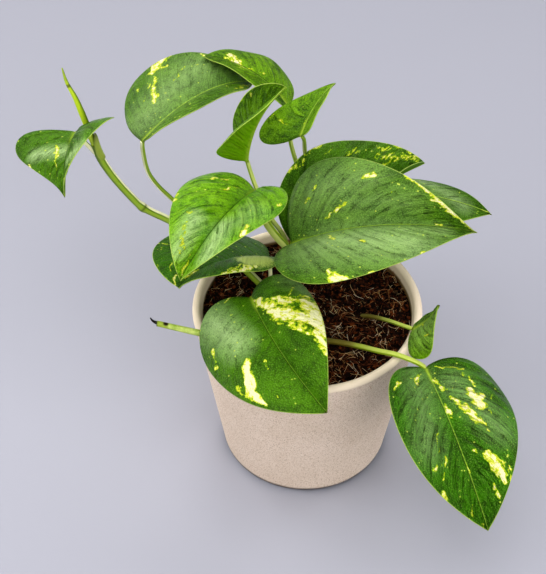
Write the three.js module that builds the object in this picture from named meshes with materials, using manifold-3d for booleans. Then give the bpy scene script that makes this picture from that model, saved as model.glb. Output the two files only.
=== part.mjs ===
// A pothos with thirteen leaves in a plain tapered stoneware pot.
// Millimetres, +Z up. The origin is the centre of the pot's flat underside, +X is the right hand
// and +Y the back of the plant as it is looked at.

import * as THREE from 'three';
import { mergeVertices } from 'three/addons/utils/BufferGeometryUtils.js';
import Module from 'manifold-3d';

// Clearance that pieces which touch keep between them
const GAP = 0.3;

// Pot: one thrown piece, straight tapered wall, rounded rim, solid flat foot
const RIM_RADIUS = 60;
const RIM_TOP = 102.6;
const FOOT_RADIUS = 46;
const FOOT_ROUNDING = 5;
const WALL = 4.6;
const FLOOR = 5;
const POT_SEGMENTS = 48;

// Soil: one plug that fills the pot to a few millimetres below the rim, with a relief of humps that
// sinks by up to SOIL_SINK
const SOIL_TOP = 96.3;
const SOIL_SINK = 2;
const SOIL_RINGS = 9;
const SOIL_SEGMENTS = 40;
const SOIL_HUMPS = [
  { height: 0.9, perX: 0.16, perY: 0.11, shift: 1.3 },
  { height: 0.6, perX: -0.24, perY: 0.27, shift: 0.4 },
  { height: 0.4, perX: 0.43, perY: -0.36, shift: 2.1 },
];

// Blades: half thickness at the margin, extra half thickness along the midrib, and the ripple of
// the margin with its height and its waves from the petiole to the tip
const MARGIN_HALF = 0.33;
const MIDRIB_HALF = 0.3;
const RIPPLE_HEIGHT = 0.6;
const RIPPLE_WAVES = 2.7;
const BLADE_ROWS = 14;
const BLADE_COLUMNS = 8;
const SMALL_BLADE = { length: 60, rows: 11, columns: 6 };
const MIDRIB_STEPS = 24;

// Stems: sides of their section, and the length of a step along them in radii
const STEM_SIDES = 8;
const STEP_LENGTH = 3.6;
const VINE_RADIUS = 2.2;

// Leaves. base is where the petiole meets the blade. heading, pitch and roll turn the blade there:
// heading from +X towards +Y, pitch upwards, roll about the midrib. left and right are the half
// widths seen from the petiole, lobeLeft and lobeRight how far each side reaches back past the
// petiole, and taper how long and fine the tip is drawn. From base to tip the midrib bends down by
// bend, turns sideways by swing and twists by twist. foldLeft and foldRight raise each half at the
// midrib, curlLeft and curlRight change that towards the margin, and tuck drops the lobes.
const LEAVES = {
  leaf_front: {
    base: [-29, -13, 120], heading: -74, pitch: 6, roll: 7, length: 81.5, left: 28.5, right: 36,
    lobeLeft: 0.18, lobeRight: 0.15, taper: 1.6, bend: 17, swing: 22, twist: 9,
    foldLeft: 51, foldRight: 18, curlLeft: -50, curlRight: -40, tuck: -0.05,
    color: '#3f8a1e',
  },
  leaf_trailing: {
    base: [58.5, -41.5, 99], heading: -73, pitch: -2, roll: -3, length: 88.5, left: 38.5, right: 33.5,
    lobeLeft: 0.11, lobeRight: 0.02, taper: 1.95, bend: 36, swing: 4, twist: 24,
    foldLeft: 21, foldRight: 24, curlLeft: -40, curlRight: 6, tuck: -0.2,
    color: '#37801f',
  },
  leaf_largest: {
    base: [-8, 14.5, 131.5], heading: -11, pitch: 36, roll: -4, length: 98, left: 40, right: 44,
    lobeLeft: 0.05, lobeRight: 0.05, taper: 2.55, bend: 54, swing: 13, twist: 35,
    foldLeft: 42, foldRight: 33, curlLeft: -16, curlRight: -20, tuck: 0.2,
    color: '#3a7d28',
  },
  leaf_left: {
    base: [-27, 18, 164.5], heading: -117, pitch: 26, roll: 2, length: 75, left: 25.5, right: 28,
    lobeLeft: 0.06, lobeRight: 0.06, taper: 1.75, bend: 50, swing: -2, twist: 1,
    foldLeft: 42, foldRight: 42, curlLeft: -31, curlRight: -35, tuck: 0.05,
    color: '#3f9220',
  },
  leaf_left_lower: {
    base: [-20, 20, 113.5], heading: -161, pitch: 29, roll: 23, length: 68.5, left: 22, right: 37,
    lobeLeft: 0.09, lobeRight: 0.19, taper: 1.2, bend: 16, swing: 50, twist: -21,
    foldLeft: 48, foldRight: 17, curlLeft: -43, curlRight: -9, tuck: -0.25,
    color: '#2f7217',
  },
  leaf_top_left: {
    base: [-83.5, 39.5, 179], heading: 44, pitch: 26, roll: -35, length: 80.5, left: 46, right: 14,
    lobeLeft: 0, lobeRight: 0, taper: 1.35, bend: 59, swing: 3, twist: 43,
    foldLeft: 18, foldRight: 4, curlLeft: -16, curlRight: 0, tuck: 0,
    color: '#3c7f2c',
  },
  leaf_top_young: {
    base: [-10, 83.5, 167], heading: 165, pitch: 60, roll: -1, length: 55, left: 10, right: 28,
    lobeLeft: 0, lobeRight: 0.08, taper: 1.2, bend: 75, swing: -12, twist: 15,
    foldLeft: 9, foldRight: 7, curlLeft: -2, curlRight: -21, tuck: 0,
    color: '#4c9a20',
  },
  leaf_rolled: {
    base: [-31, 32, 172.5], heading: -32, pitch: 85, roll: -7, length: 58.5, left: 14.5, right: 22,
    lobeLeft: 0.19, lobeRight: 0, taper: 1.2, bend: 34, swing: 8, twist: 43,
    foldLeft: 46, foldRight: 47, curlLeft: 19, curlRight: -18, tuck: 0,
    color: '#58a626',
  },
  leaf_young_right: {
    base: [-3.5, 52.5, 172], heading: 66, pitch: 35, roll: -13, length: 36, left: 28.5, right: 11,
    lobeLeft: 0.35, lobeRight: 0.04, taper: 2, bend: 29, swing: -17, twist: 2,
    foldLeft: -16, foldRight: 38, curlLeft: 6, curlRight: 1, tuck: 0.65,
    color: '#56a524',
  },
  leaf_behind: {
    base: [-8, 31, 117.5], heading: 23, pitch: 30, roll: -12, length: 82.5, left: 34.5, right: 29.5,
    lobeLeft: 0.01, lobeRight: 0.04, taper: 1.5, bend: 20, swing: 2, twist: -21,
    foldLeft: 69, foldRight: 31, curlLeft: -11, curlRight: -15, tuck: 0,
    color: '#35771f',
  },
  leaf_back_right: {
    base: [36, 62.5, 124.5], heading: -7, pitch: 9, roll: -10, length: 66.5, left: 22, right: 27.5,
    lobeLeft: 0.09, lobeRight: 0.05, taper: 2.3, bend: 32, swing: -2, twist: 17,
    foldLeft: 12, foldRight: 6, curlLeft: -29, curlRight: -28, tuck: 0,
    color: '#2f6f1f',
  },
  leaf_rim_young: {
    base: [53.1, -25, 110.1], heading: -14, pitch: 45, roll: -9, length: 24, left: 5, right: 16.5,
    lobeLeft: 0.08, lobeRight: 0.34, taper: 1.55, bend: -33, swing: -7, twist: -1,
    foldLeft: 27, foldRight: -4, curlLeft: -15, curlRight: -40, tuck: 0.3,
    color: '#4a9420',
  },
  leaf_far_left: {
    base: [-116, 38, 186], heading: -101, pitch: 18, roll: 17, length: 40.5, left: 24, right: 32,
    lobeLeft: 0.16, lobeRight: 0.15, taper: 2.55, bend: 69, swing: 13, twist: 39,
    foldLeft: 34, foldRight: 16, curlLeft: -25, curlRight: -12, tuck: 0.2,
    color: '#3f8d22',
  },
};

// Stems. Each node is one shoot: its branches run from the root or a joint to where they end, and
// collars are the swollen rings where a leaf grows out of the vine.
const STEMS = {
  vine_left: {
    branches: [
      { radius: VINE_RADIUS, route: [
        [-16, 8, 86], [-20.6, 14.3, 96], [-31.7, 23.5, 103.5], [-43.4, 32.5, 108.5], [-54.2, 39.6, 111.5],
        [-64, 43.2, 115.5], [-74.3, 43.6, 122.5], [-86.6, 43, 131.6], [-92.8, 43, 140],
        [-102, 43, 155.9], [-106.3, 42.5, 167], [-108, 42.4, 175]] },
      { radius: 1.2, route: [
        [-63, 43, 115.2], [-64.5, 45, 124.2], [-70.6, 44.5, 134.9], [-77.8, 43, 146.3],
        [-82.2, 42, 156.7], [-83.8, 40.4, 173], [-83.6, 39.8, 177.6]] },
      { radius: 1.1, route: [
        [-22.5, 16, 98], [-19.5, 17.2, 104], [-19.4, 18.9, 109.5], [-19.8, 19.6, 112.2]] },
      { radius: 1.2, route: [
        [-105, 42.8, 164], [-110, 41.6, 172.6], [-114.2, 40.2, 180], [-115.6, 38.6, 184.9]] },
      { radius: 2.5, route: [[-106.2, 42.6, 167.5], [-107.3, 42.6, 171.5], [-108, 42.6, 175]] },
    ],
    collars: [
      { at: [-86.6, 43, 131.6], towards: [-92.8, 43, 140] },
      { at: [-62.5, 42.8, 114.8], towards: [-64, 43.2, 115.5] },
    ],
    color: '#7fa33a',
  },
  vine_centre: {
    branches: [
      { radius: VINE_RADIUS, route: [
        [-3, 28, 86], [-4.5, 27, 96], [-11, 24, 120.5], [-15.3, 25, 126], [-20.5, 26, 134.4],
        [-23.5, 25, 144.4]] },
      { radius: 1.4, route: [
        [-22.8, 25.3, 142], [-25, 23.5, 150], [-26.8, 20.5, 158.5], [-27, 18.4, 163.6]] },
      { radius: 1.2, route: [
        [-7, 26, 104], [-12.5, 31.4, 121.9], [-18.5, 30.6, 134.2], [-25.6, 31, 152.7],
        [-29.3, 33, 164.5], [-30.5, 32.3, 170.8]] },
      { radius: 1.3, route: [
        [-5, 26.5, 99], [-7.5, 20, 112], [-8.8, 15.8, 124], [-8.2, 14.7, 130.4]] },
    ],
    collars: [
      { at: [-23.1, 25.2, 143], towards: [-25, 23.5, 150] },
    ],
    color: '#7da53c',
  },
  stem_back: {
    branches: [
      { radius: VINE_RADIUS, route: [[3, 45, 86], [2, 46, 96], [0.5, 47.5, 110]] },
      { radius: 1.2, route: [
        [1, 47.2, 106], [-1, 55, 122], [-4, 63, 138], [-8.3, 73, 150], [-10, 80, 159.5],
        [-10, 82.8, 165.8]] },
      { radius: 1.2, route: [
        [0.7, 47.4, 108], [0.4, 59, 124], [-0.4, 66.5, 141], [-1.2, 65, 153], [-2, 57, 166],
        [-3, 53.4, 170.6]] },
      { radius: 1.3, route: [
        [2, 46, 98], [-3, 41, 104.5], [-6.8, 34, 112.5], [-7.7, 31.5, 116.2]] },
      { radius: 1.3, route: [
        [1.8, 46.2, 101], [11, 51, 110], [24, 58, 119.5], [33, 61.6, 123.6], [34.9, 62.3, 124.2]] },
    ],
    collars: [
      { at: [0.7, 47.3, 108], towards: [0.5, 47.5, 110] },
      { at: [2, 46, 99.5], towards: [0.5, 47.5, 110] },
    ],
    color: '#86ab40',
  },
  petiole_front: {
    branches: [
      { radius: 1.3, route: [
        [-18, 1, 86], [-20, -1, 96], [-25, -7, 109], [-28.3, -11.8, 117.6], [-28.8, -12.6, 119]] },
    ],
    collars: [],
    color: '#84a93e',
  },
  petiole_trailing: {
    branches: [
      { radius: 1.65, endRadius: 1.3, route: [
        [-16, -15, 86], [-6, -17.5, 93.5], [9.7, -22.6, 98.5], [16.3, -24.9, 99.8],
        [26.2, -29.4, 101.8], [35.9, -34.9, 104.2], [43.2, -38.3, 105.8], [50.5, -41, 104.9],
        [55.2, -41.2, 102.7], [57.2, -40.8, 101.1]] },
    ],
    collars: [],
    color: '#a3b24a',
  },
  petiole_rim: {
    branches: [
      { radius: 1.1, route: [
        [20, 4, 86], [28.7, -2.1, 95.5], [35.1, -6.8, 99.5], [42.3, -13.4, 103.5],
        [46.9, -18.4, 106.3], [52.1, -24, 109.2]] },
    ],
    collars: [],
    color: '#7d9a3a',
  },
};

// Cut stub: an old vine end that lies over the rim and dries to a thin black curl
const STUB_ROUTE = [
  [-14, -23, 88], [-24.6, -24, 96.5], [-34.8, -23.2, 99.8], [-45, -23.3, 102.8], [-53, -23.5, 104.8],
  [-65.1, -22.1, 107.2], [-76.8, -20.6, 109.5],
];
const STUB_RADII = [2.2, 1.4];
const CURL_ROUTE = [[-75.8, -20.7, 109.4], [-78.8, -19.6, 110.2], [-80.2, -18.6, 111.6]];
const CURL_RADII = [0.8, 0.35];

// New leaf: still rolled to a spike, held in the sheath at the end of the left vine
const SPIKE_ROUTE = [
  [-108, 42.6, 175.6], [-109.4, 42.2, 181.2], [-111.7, 42, 192], [-115, 42, 205],
  [-118.2, 42, 214.2], [-119.5, 42, 222.5],
];
const SPIKE_RADII = [2, 0.35];

const wasm = await Module();
wasm.setup();

const radians = THREE.MathUtils.degToRad;
const vector = (point) => new THREE.Vector3(...point);

// A closed geometry as a solid that can be joined and cut
function toSolid(geometry) {
  const bare = geometry.clone();
  bare.deleteAttribute('normal');
  bare.deleteAttribute('uv');
  const merged = mergeVertices(bare, 1e-3);
  return new wasm.Manifold(new wasm.Mesh({
    numProp: 3,
    vertProperties: Float32Array.from(merged.attributes.position.array),
    triVerts: Uint32Array.from(merged.index.array),
  }));
}

function toGeometry(solid) {
  const mesh = solid.getMesh();
  const geometry = new THREE.BufferGeometry();
  geometry.setAttribute('position', new THREE.BufferAttribute(Float32Array.from(mesh.vertProperties), 3));
  geometry.setIndex(Array.from(mesh.triVerts));
  return geometry;
}

// Pot

function potProfile() {
  const roll = WALL / 2;
  const rimCentre = [RIM_RADIUS - roll, RIM_TOP - roll];
  const rim = [0, 40, 80, 120, 160].map((degrees) => [
    rimCentre[0] + roll * Math.cos(radians(degrees)),
    rimCentre[1] + roll * Math.sin(radians(degrees)),
  ]);
  const foot = [0, 30, 60, 90].map((degrees) => [
    FOOT_RADIUS - FOOT_ROUNDING * (1 - Math.sin(radians(degrees))),
    FOOT_ROUNDING * (1 - Math.cos(radians(degrees))),
  ]);
  return [
    [0, 0],
    ...foot,
    [outerRadius(RIM_TOP - WALL), RIM_TOP - WALL],
    ...rim,
    [innerRadius(RIM_TOP - WALL), RIM_TOP - WALL],
    [innerRadius(FLOOR + FOOT_ROUNDING), FLOOR + FOOT_ROUNDING],
    [innerRadius(FLOOR) - FOOT_ROUNDING, FLOOR],
    [0, FLOOR],
  ];
}

function outerRadius(z) {
  const slope = (RIM_RADIUS - FOOT_RADIUS) / (RIM_TOP - FOOT_ROUNDING);
  return FOOT_RADIUS + slope * (z - FOOT_ROUNDING);
}

function innerRadius(z) {
  return outerRadius(z) - WALL;
}

// A lathe turns about Y, so the finished shape is stood up on +Z
function turned(profile, segments) {
  const points = profile.map(([radius, z]) => new THREE.Vector2(radius, z));
  return new THREE.LatheGeometry(points, segments).rotateX(Math.PI / 2);
}

// Stems

function circle(radius) {
  const corners = Array.from({ length: STEM_SIDES }, (_, i) => {
    const angle = (i / STEM_SIDES) * Math.PI * 2;
    return new THREE.Vector2(radius * Math.cos(angle), radius * Math.sin(angle));
  });
  return new THREE.Shape(corners);
}

// A round stem along a route, narrowing evenly from one radius to the other. grown makes it wider
// all round, in the same steps.
function stem(route, radius, endRadius = radius, grown = 0) {
  const curve = new THREE.CatmullRomCurve3(route.map(vector), false, 'centripetal');
  const steps = Math.max(3, Math.round(curve.getLength() / (radius * STEP_LENGTH)));
  const geometry = new THREE.ExtrudeGeometry(circle(radius + grown), {
    steps, bevelEnabled: false, extrudePath: curve,
  });
  if (endRadius === radius) return geometry;
  const centres = curve.getSpacedPoints(steps);
  const corners = geometry.attributes.position;
  const corner = new THREE.Vector3();
  for (let i = 0; i < corners.count; i += 1) {
    corner.fromBufferAttribute(corners, i);
    const distances = centres.map((centre) => centre.distanceTo(corner));
    const nearest = distances.indexOf(Math.min(...distances));
    const share = nearest / steps;
    const scale = (radius + (endRadius - radius) * share + grown) / (radius + grown);
    corner.sub(centres[nearest]).multiplyScalar(scale).add(centres[nearest]);
    corners.setXYZ(i, corner.x, corner.y, corner.z);
  }
  return geometry;
}

// The swollen ring at a joint of a vine
function collar({ at, towards }) {
  const direction = vector(towards).sub(vector(at)).normalize();
  const turn = new THREE.Quaternion().setFromUnitVectors(new THREE.Vector3(0, 1, 0), direction);
  return new THREE.SphereGeometry(1, 10, 6)
    .scale(VINE_RADIUS * 1.28, VINE_RADIUS * 1.1, VINE_RADIUS * 1.28)
    .applyQuaternion(turn)
    .translate(...at);
}

function shoot({ branches, collars }) {
  const parts = [
    ...branches.map(({ route, radius, endRadius }) => toSolid(stem(route, radius, endRadius))),
    ...collars.map((ring) => toSolid(collar(ring))),
  ];
  return parts.reduce((whole, part) => whole.add(part));
}

function cutStub() {
  return toSolid(stem(STUB_ROUTE, ...STUB_RADII)).add(toSolid(stem(CURL_ROUTE, ...CURL_RADII)));
}

// Soil

function soilHeight(x, y) {
  const relief = SOIL_HUMPS.map(
    ({ height, perX, perY, shift }) => height * Math.sin(perX * x + perY * y + shift),
  );
  return relief.reduce((total, part) => total + part, SOIL_TOP);
}

function soilPlug() {
  const bottom = FLOOR + FOOT_ROUNDING + GAP;
  const points = [[0, 0, soilHeight(0, 0)]];
  const ring = (radius, height) => {
    for (let i = 0; i < SOIL_SEGMENTS; i += 1) {
      const angle = (i / SOIL_SEGMENTS) * Math.PI * 2;
      const x = radius * Math.cos(angle);
      const y = radius * Math.sin(angle);
      points.push([x, y, height(x, y)]);
    }
  };
  const wallGap = GAP * 1.6;
  const topRadius = innerRadius(SOIL_TOP - SOIL_SINK) - wallGap;
  for (let i = 1; i <= SOIL_RINGS; i += 1) ring((topRadius * i) / SOIL_RINGS, soilHeight);
  ring(innerRadius(bottom) - wallGap, () => bottom);
  points.push([0, 0, bottom]);
  const triangles = [];
  const index = (row, i) => 1 + (row - 1) * SOIL_SEGMENTS + (i % SOIL_SEGMENTS);
  for (let i = 0; i < SOIL_SEGMENTS; i += 1) {
    triangles.push([0, index(1, i), index(1, i + 1)]);
    for (let row = 1; row <= SOIL_RINGS; row += 1) {
      triangles.push([index(row, i), index(row + 1, i), index(row + 1, i + 1)]);
      triangles.push([index(row, i), index(row + 1, i + 1), index(row, i + 1)]);
    }
    triangles.push([points.length - 1, index(SOIL_RINGS + 1, i + 1), index(SOIL_RINGS + 1, i)]);
  }
  return toSolid(meshOf(points, triangles));
}

// The plain blind hole that a stem stands in: the stem grown by the gap, and a gap deeper
function hole({ route, radius, endRadius }) {
  const clearance = GAP * 1.2;
  const [root, next] = route.map(vector);
  const bottom = root.clone().sub(next).setLength(clearance).add(root);
  return toSolid(stem([bottom.toArray(), ...route], radius, endRadius, clearance));
}

function soil() {
  const holes = [
    ...Object.values(STEMS).map(({ branches }) => hole(branches[0])),
    hole({ route: STUB_ROUTE, radius: STUB_RADII[0], endRadius: STUB_RADII[1] }),
  ];
  return holes.reduce((plug, cut) => plug.subtract(cut), soilPlug());
}

function meshOf(points, triangles) {
  const geometry = new THREE.BufferGeometry();
  geometry.setAttribute('position', new THREE.Float32BufferAttribute(points.flat(), 3));
  geometry.setIndex(triangles.flat());
  return geometry;
}

// Leaves

// A hump over 0 to 90 degrees that reaches 1, and is lower towards 90 the higher its power
function hump(angle, power) {
  const rise = (a) => Math.sin(a) * Math.cos(a) ** power;
  return rise(angle) / rise(Math.atan(1 / Math.sqrt(power)));
}

// A point of the blade laid flat. s runs from the notch at the petiole (0) to the tip (1), and
// t from the right margin (-1) over the midrib (0) to the left margin (1).
function flatPoint(leaf, s, t) {
  const angle = (s * Math.PI) / 2;
  const lobe = t >= 0 ? leaf.lobeLeft : leaf.lobeRight;
  const midrib = Math.sin(angle) ** 3;
  const margin = Math.sin(angle) ** 2 - lobe * hump(angle, 3);
  const along = leaf.length * (midrib + (margin - midrib) * Math.abs(t));
  const halfWidth = t >= 0 ? leaf.left : leaf.right;
  return { along, across: halfWidth * hump(angle, leaf.taper) * t, halfWidth };
}

// Unit vectors along the midrib, to the left of it and up from the blade, at the share u of its length
function bladeAxes(leaf, u) {
  const heading = radians(leaf.heading + leaf.swing * u);
  const pitch = radians(leaf.pitch - leaf.bend * u);
  const along = new THREE.Vector3(
    Math.cos(pitch) * Math.cos(heading), Math.cos(pitch) * Math.sin(heading), Math.sin(pitch),
  );
  const left = new THREE.Vector3(-Math.sin(heading), Math.cos(heading), 0);
  const roll = radians(leaf.roll + leaf.twist * u);
  left.applyAxisAngle(along, roll);
  return { along, left, up: along.clone().cross(left) };
}

function midribPoint(leaf, u) {
  const point = vector(leaf.base);
  const step = u / MIDRIB_STEPS;
  for (let i = 0; i < MIDRIB_STEPS; i += 1) {
    point.addScaledVector(bladeAxes(leaf, (i + 0.5) * step).along, step * leaf.length);
  }
  return point;
}

function bladePoint(leaf, s, t) {
  const { along, across, halfWidth } = flatPoint(leaf, s, t);
  const u = along / leaf.length;
  const { left, up } = bladeAxes(leaf, u);
  const share = Math.abs(across) / halfWidth;
  const fold = t >= 0 ? leaf.foldLeft : leaf.foldRight;
  const curl = t >= 0 ? leaf.curlLeft : leaf.curlRight;
  const slope = radians(fold + curl * share);
  const drop = leaf.tuck * leaf.length * Math.max(-u, 0) ** 1.5;
  const wave = Math.sin(RIPPLE_WAVES * Math.PI * 2 * s + 2 * t + leaf.heading);
  const ripple = RIPPLE_HEIGHT * wave * Math.abs(t) ** 3 * Math.sin(Math.PI * s);
  return midribPoint(leaf, u)
    .addScaledVector(left, across * Math.cos(slope))
    .addScaledVector(up, Math.abs(across) * Math.sin(slope) - drop + ripple);
}

// The blade as a solid: its middle surface, moved out to both sides, with both faces split alike
function blade(leaf) {
  const small = leaf.length < SMALL_BLADE.length;
  const rows = small ? SMALL_BLADE.rows : BLADE_ROWS;
  const columns = small ? SMALL_BLADE.columns : BLADE_COLUMNS;
  const middle = [bladePoint(leaf, 0, 0)];
  const halves = [MARGIN_HALF];
  for (let row = 1; row < rows; row += 1) {
    for (let column = 0; column <= columns; column += 1) {
      const t = (column / columns) * 2 - 1;
      middle.push(bladePoint(leaf, row / rows, t));
      halves.push(MARGIN_HALF + MIDRIB_HALF * (1 - Math.abs(t)) ** 3);
    }
  }
  middle.push(bladePoint(leaf, 1, 0));
  halves.push(MARGIN_HALF);
  const face = bladeTriangles(rows, columns);
  const normals = vertexNormals(middle, face);
  const offset = (side) => middle.map(
    (point, i) => point.clone().addScaledVector(normals[i], side * halves[i]).toArray(),
  );
  const count = middle.length;
  const under = face.map(([a, b, c]) => [count + a, count + c, count + b]);
  const rim = openEdges(face).flatMap(([a, b]) => [[b, a, count + a], [b, count + a, count + b]]);
  return meshOf([...offset(1), ...offset(-1)], [...face, ...under, ...rim]);
}

// Triangles of the upper face: a fan at the notch and at the tip, rows of quads between them
function bladeTriangles(rows, columns) {
  const last = 1 + (rows - 1) * (columns + 1);
  const index = (row, column) => 1 + (row - 1) * (columns + 1) + column;
  const triangles = [];
  for (let column = 0; column < columns; column += 1) {
    triangles.push([0, index(1, column), index(1, column + 1)]);
    triangles.push([last, index(rows - 1, column + 1), index(rows - 1, column)]);
    for (let row = 1; row < rows - 1; row += 1) {
      const [a, b] = [index(row, column), index(row, column + 1)];
      const [c, d] = [index(row + 1, column + 1), index(row + 1, column)];
      if (column < columns / 2) triangles.push([a, d, c], [a, c, b]);
      else triangles.push([a, d, b], [b, d, c]);
    }
  }
  return triangles;
}

function vertexNormals(points, triangles) {
  const normals = points.map(() => new THREE.Vector3());
  for (const corners of triangles) {
    const [a, b, c] = corners.map((i) => points[i]);
    const normal = b.clone().sub(a).cross(c.clone().sub(a)).normalize();
    corners.forEach((i) => normals[i].add(normal));
  }
  return normals.map((normal) => normal.normalize());
}

function openEdges(triangles) {
  const edges = triangles.flatMap(([a, b, c]) => [[a, b], [b, c], [c, a]]);
  const used = new Set(edges.map(([a, b]) => `${a} ${b}`));
  return edges.filter(([a, b]) => !used.has(`${b} ${a}`));
}

// Assembly

const plant = new THREE.Group();

function place(name, geometry, color, roughness) {
  const mesh = new THREE.Mesh(geometry, new THREE.MeshStandardMaterial({ color, roughness, metalness: 0 }));
  mesh.name = name;
  plant.add(mesh);
}

place('pot', toGeometry(toSolid(turned(potProfile(), POT_SEGMENTS))), '#cfc3b4', 0.8);
place('soil', toGeometry(soil()), '#33241b', 1);
for (const [name, shape] of Object.entries(STEMS)) {
  place(name, toGeometry(shoot(shape)), shape.color, 0.5);
}
place('cut_stub', toGeometry(cutStub()), '#a9b573', 0.6);
place('new_leaf_spike', toGeometry(toSolid(stem(SPIKE_ROUTE, ...SPIKE_RADII))), '#a8c832', 0.5);
for (const [name, leaf] of Object.entries(LEAVES)) {
  place(name, toGeometry(toSolid(blade(leaf))), leaf.color, 0.4);
}

export default plant;
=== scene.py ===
import math

import bpy
import numpy as np
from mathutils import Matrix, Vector, noise


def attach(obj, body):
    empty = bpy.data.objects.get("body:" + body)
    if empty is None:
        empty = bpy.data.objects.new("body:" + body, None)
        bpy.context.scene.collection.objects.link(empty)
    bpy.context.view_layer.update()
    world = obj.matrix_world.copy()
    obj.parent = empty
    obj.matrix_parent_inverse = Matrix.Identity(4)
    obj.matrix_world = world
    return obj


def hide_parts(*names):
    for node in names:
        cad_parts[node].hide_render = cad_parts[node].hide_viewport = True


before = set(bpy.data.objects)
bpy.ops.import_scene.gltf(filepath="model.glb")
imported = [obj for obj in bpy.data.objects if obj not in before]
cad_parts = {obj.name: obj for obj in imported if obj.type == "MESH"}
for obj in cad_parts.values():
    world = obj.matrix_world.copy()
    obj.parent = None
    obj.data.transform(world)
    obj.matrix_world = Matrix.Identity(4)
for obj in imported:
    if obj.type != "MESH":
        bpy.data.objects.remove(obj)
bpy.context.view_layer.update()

# Camera. It looks down at the plant by 45 degrees from 0.72 m, level with the middle of the pot,
# through a long lens, so the pot's sides hardly draw together.
lens = bpy.data.cameras.new("camera")
lens.sensor_width = 36
lens.lens = 87.8
camera = bpy.data.objects.new("camera", lens)
camera.location = (-0.0179, -0.5064, 0.6281)
camera.rotation_euler = (math.radians(44.62), 0, 0)
bpy.context.collection.objects.link(camera)
bpy.context.scene.camera = camera

# Pot. One thrown stoneware piece with a straight tapered wall, a rounded rim and a solid foot. The
# body is matt and finely speckled, the rim is wiped smooth and pale and the inside is dark. A band
# of painted contact shadow darkens the foot.
MM = 0.001
RIM_RADIUS = 60
RIM_TOP = 102.6
FOOT_RADIUS = 46
FOOT_ROUNDING = 5
WALL = 4.6
FLOOR = 5
HUB = 30
POT_SIDES = 144


def outer_radius(z):
    return FOOT_RADIUS + (RIM_RADIUS - FOOT_RADIUS) / (RIM_TOP - FOOT_ROUNDING) * (z - FOOT_ROUNDING)


def inner_radius(z):
    return outer_radius(z) - WALL


def arc(centre, radius, first, last, steps):
    turns = np.radians(np.linspace(first, last, steps))
    return [(centre[0] + radius * math.cos(a), centre[1] + radius * math.sin(a)) for a in turns]


def straight(first, last, steps):
    return [tuple(point) for point in np.linspace(first, last, steps)]


def pot_section():
    """Points (radius, height) of the pot's half section, and which of them lie inside the pot."""
    roll = WALL / 2
    shoulder = RIM_TOP - roll - 0.9
    above = FOOT_ROUNDING + 1
    corner = (FOOT_RADIUS - FOOT_ROUNDING, FOOT_ROUNDING)
    crown = (RIM_RADIUS - roll, RIM_TOP - roll)
    outside = straight((0, 0), (FOOT_RADIUS - FOOT_ROUNDING - 0.6, 0), 6)
    outside += arc(corner, FOOT_ROUNDING, -90, 0, 10)
    outside += straight((outer_radius(above), above), (outer_radius(shoulder), shoulder), 26)
    outside += arc(crown, roll, 4, 120, 10)
    inside = arc(crown, roll, 130, 176, 5)
    inside += straight((inner_radius(shoulder), shoulder), (inner_radius(FLOOR + 5), FLOOR + 5), 20)
    inside += straight((inner_radius(FLOOR) - 5, FLOOR), (0, FLOOR), 5)
    return outside + inside, [0.0] * len(outside) + [1.0] * len(inside)


class Wire:
    """What one node passes to the next. Sums and products of wires and numbers add Math nodes."""

    def __init__(self, socket):
        self.socket, self.tree = socket, socket.id_data

    def __add__(self, other):
        return maths("ADD", self, other)

    def __sub__(self, other):
        return maths("SUBTRACT", self, other)

    def __rsub__(self, other):
        return maths("SUBTRACT", other, self)

    def __mul__(self, other):
        return maths("MULTIPLY", self, other)

    def also(self, output):
        """Another output of the same node."""
        return Wire(self.socket.node.outputs[output])


def tone(code):
    """A colour such as #c8b49f, as the shaders count it."""
    parts = [int(code[i : i + 2], 16) / 255 for i in (1, 3, 5)]
    return [p / 12.92 if p <= 0.04045 else ((p + 0.055) / 1.055) ** 2.4 for p in parts] + [1.0]


def feed(node, inputs):
    """Gives a node its inputs, each a number, a name, a colour such as #c8b49f or a wire."""
    for key, value in inputs.items():
        if isinstance(value, Wire):
            value.tree.links.new(value.socket, node.inputs[key])
        else:
            colour = isinstance(value, str) and value.startswith("#")
            node.inputs[key].default_value = tone(value) if colour else value


def add(tree, kind, inputs=None, output=0, **settings):
    """A new node with its settings and inputs, as the wire from one of its outputs."""
    node = tree.nodes.new(kind)
    for name, value in settings.items():
        setattr(node, name, value)
    feed(node, inputs or {})
    return Wire(node.outputs[output]) if node.outputs else None


def tree_of(values):
    return next(value.tree for value in values if isinstance(value, Wire))


def maths(operation, *values, clamp=False):
    inputs = dict(enumerate(values))
    return add(tree_of(values), "ShaderNodeMath", inputs, operation=operation, use_clamp=clamp)


def ranged(value, low, high, first=0.0, last=1.0):
    """The value, from first at low to last at high, easing in and out."""
    inputs = {0: value, 1: low, 2: high, 3: first, 4: last}
    return add(value.tree, "ShaderNodeMapRange", inputs, interpolation_type="SMOOTHSTEP")


def mixed(share, first, second):
    inputs = {0: share, 6: first, 7: second}
    return add(tree_of(inputs.values()), "ShaderNodeMix", inputs, output=2, data_type="RGBA")


def coated(skin, *coats):
    """The skin under coats of colour. Each lists what drives it, where it starts and where it is
    full, and how much of the skin it hides there."""
    for colour, value, low, high, share in coats:
        skin = mixed(ranged(value, low, high, 0.0, share), skin, colour)
    return skin


def split(vector):
    x = add(vector.tree, "ShaderNodeSeparateXYZ", {0: vector})
    return x, x.also("Y"), x.also("Z")


def cloud(where, scale, detail=2.0, roughness=0.5, distortion=0.0):
    inputs = {"Vector": where, "Scale": scale, "Detail": detail, "Roughness": roughness}
    return add(where.tree, "ShaderNodeTexNoise", {**inputs, "Distortion": distortion}, output="Fac")


def cells(where, scale):
    return add(where.tree, "ShaderNodeTexVoronoi", {"Vector": where, "Scale": scale}, output="Distance")


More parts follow.
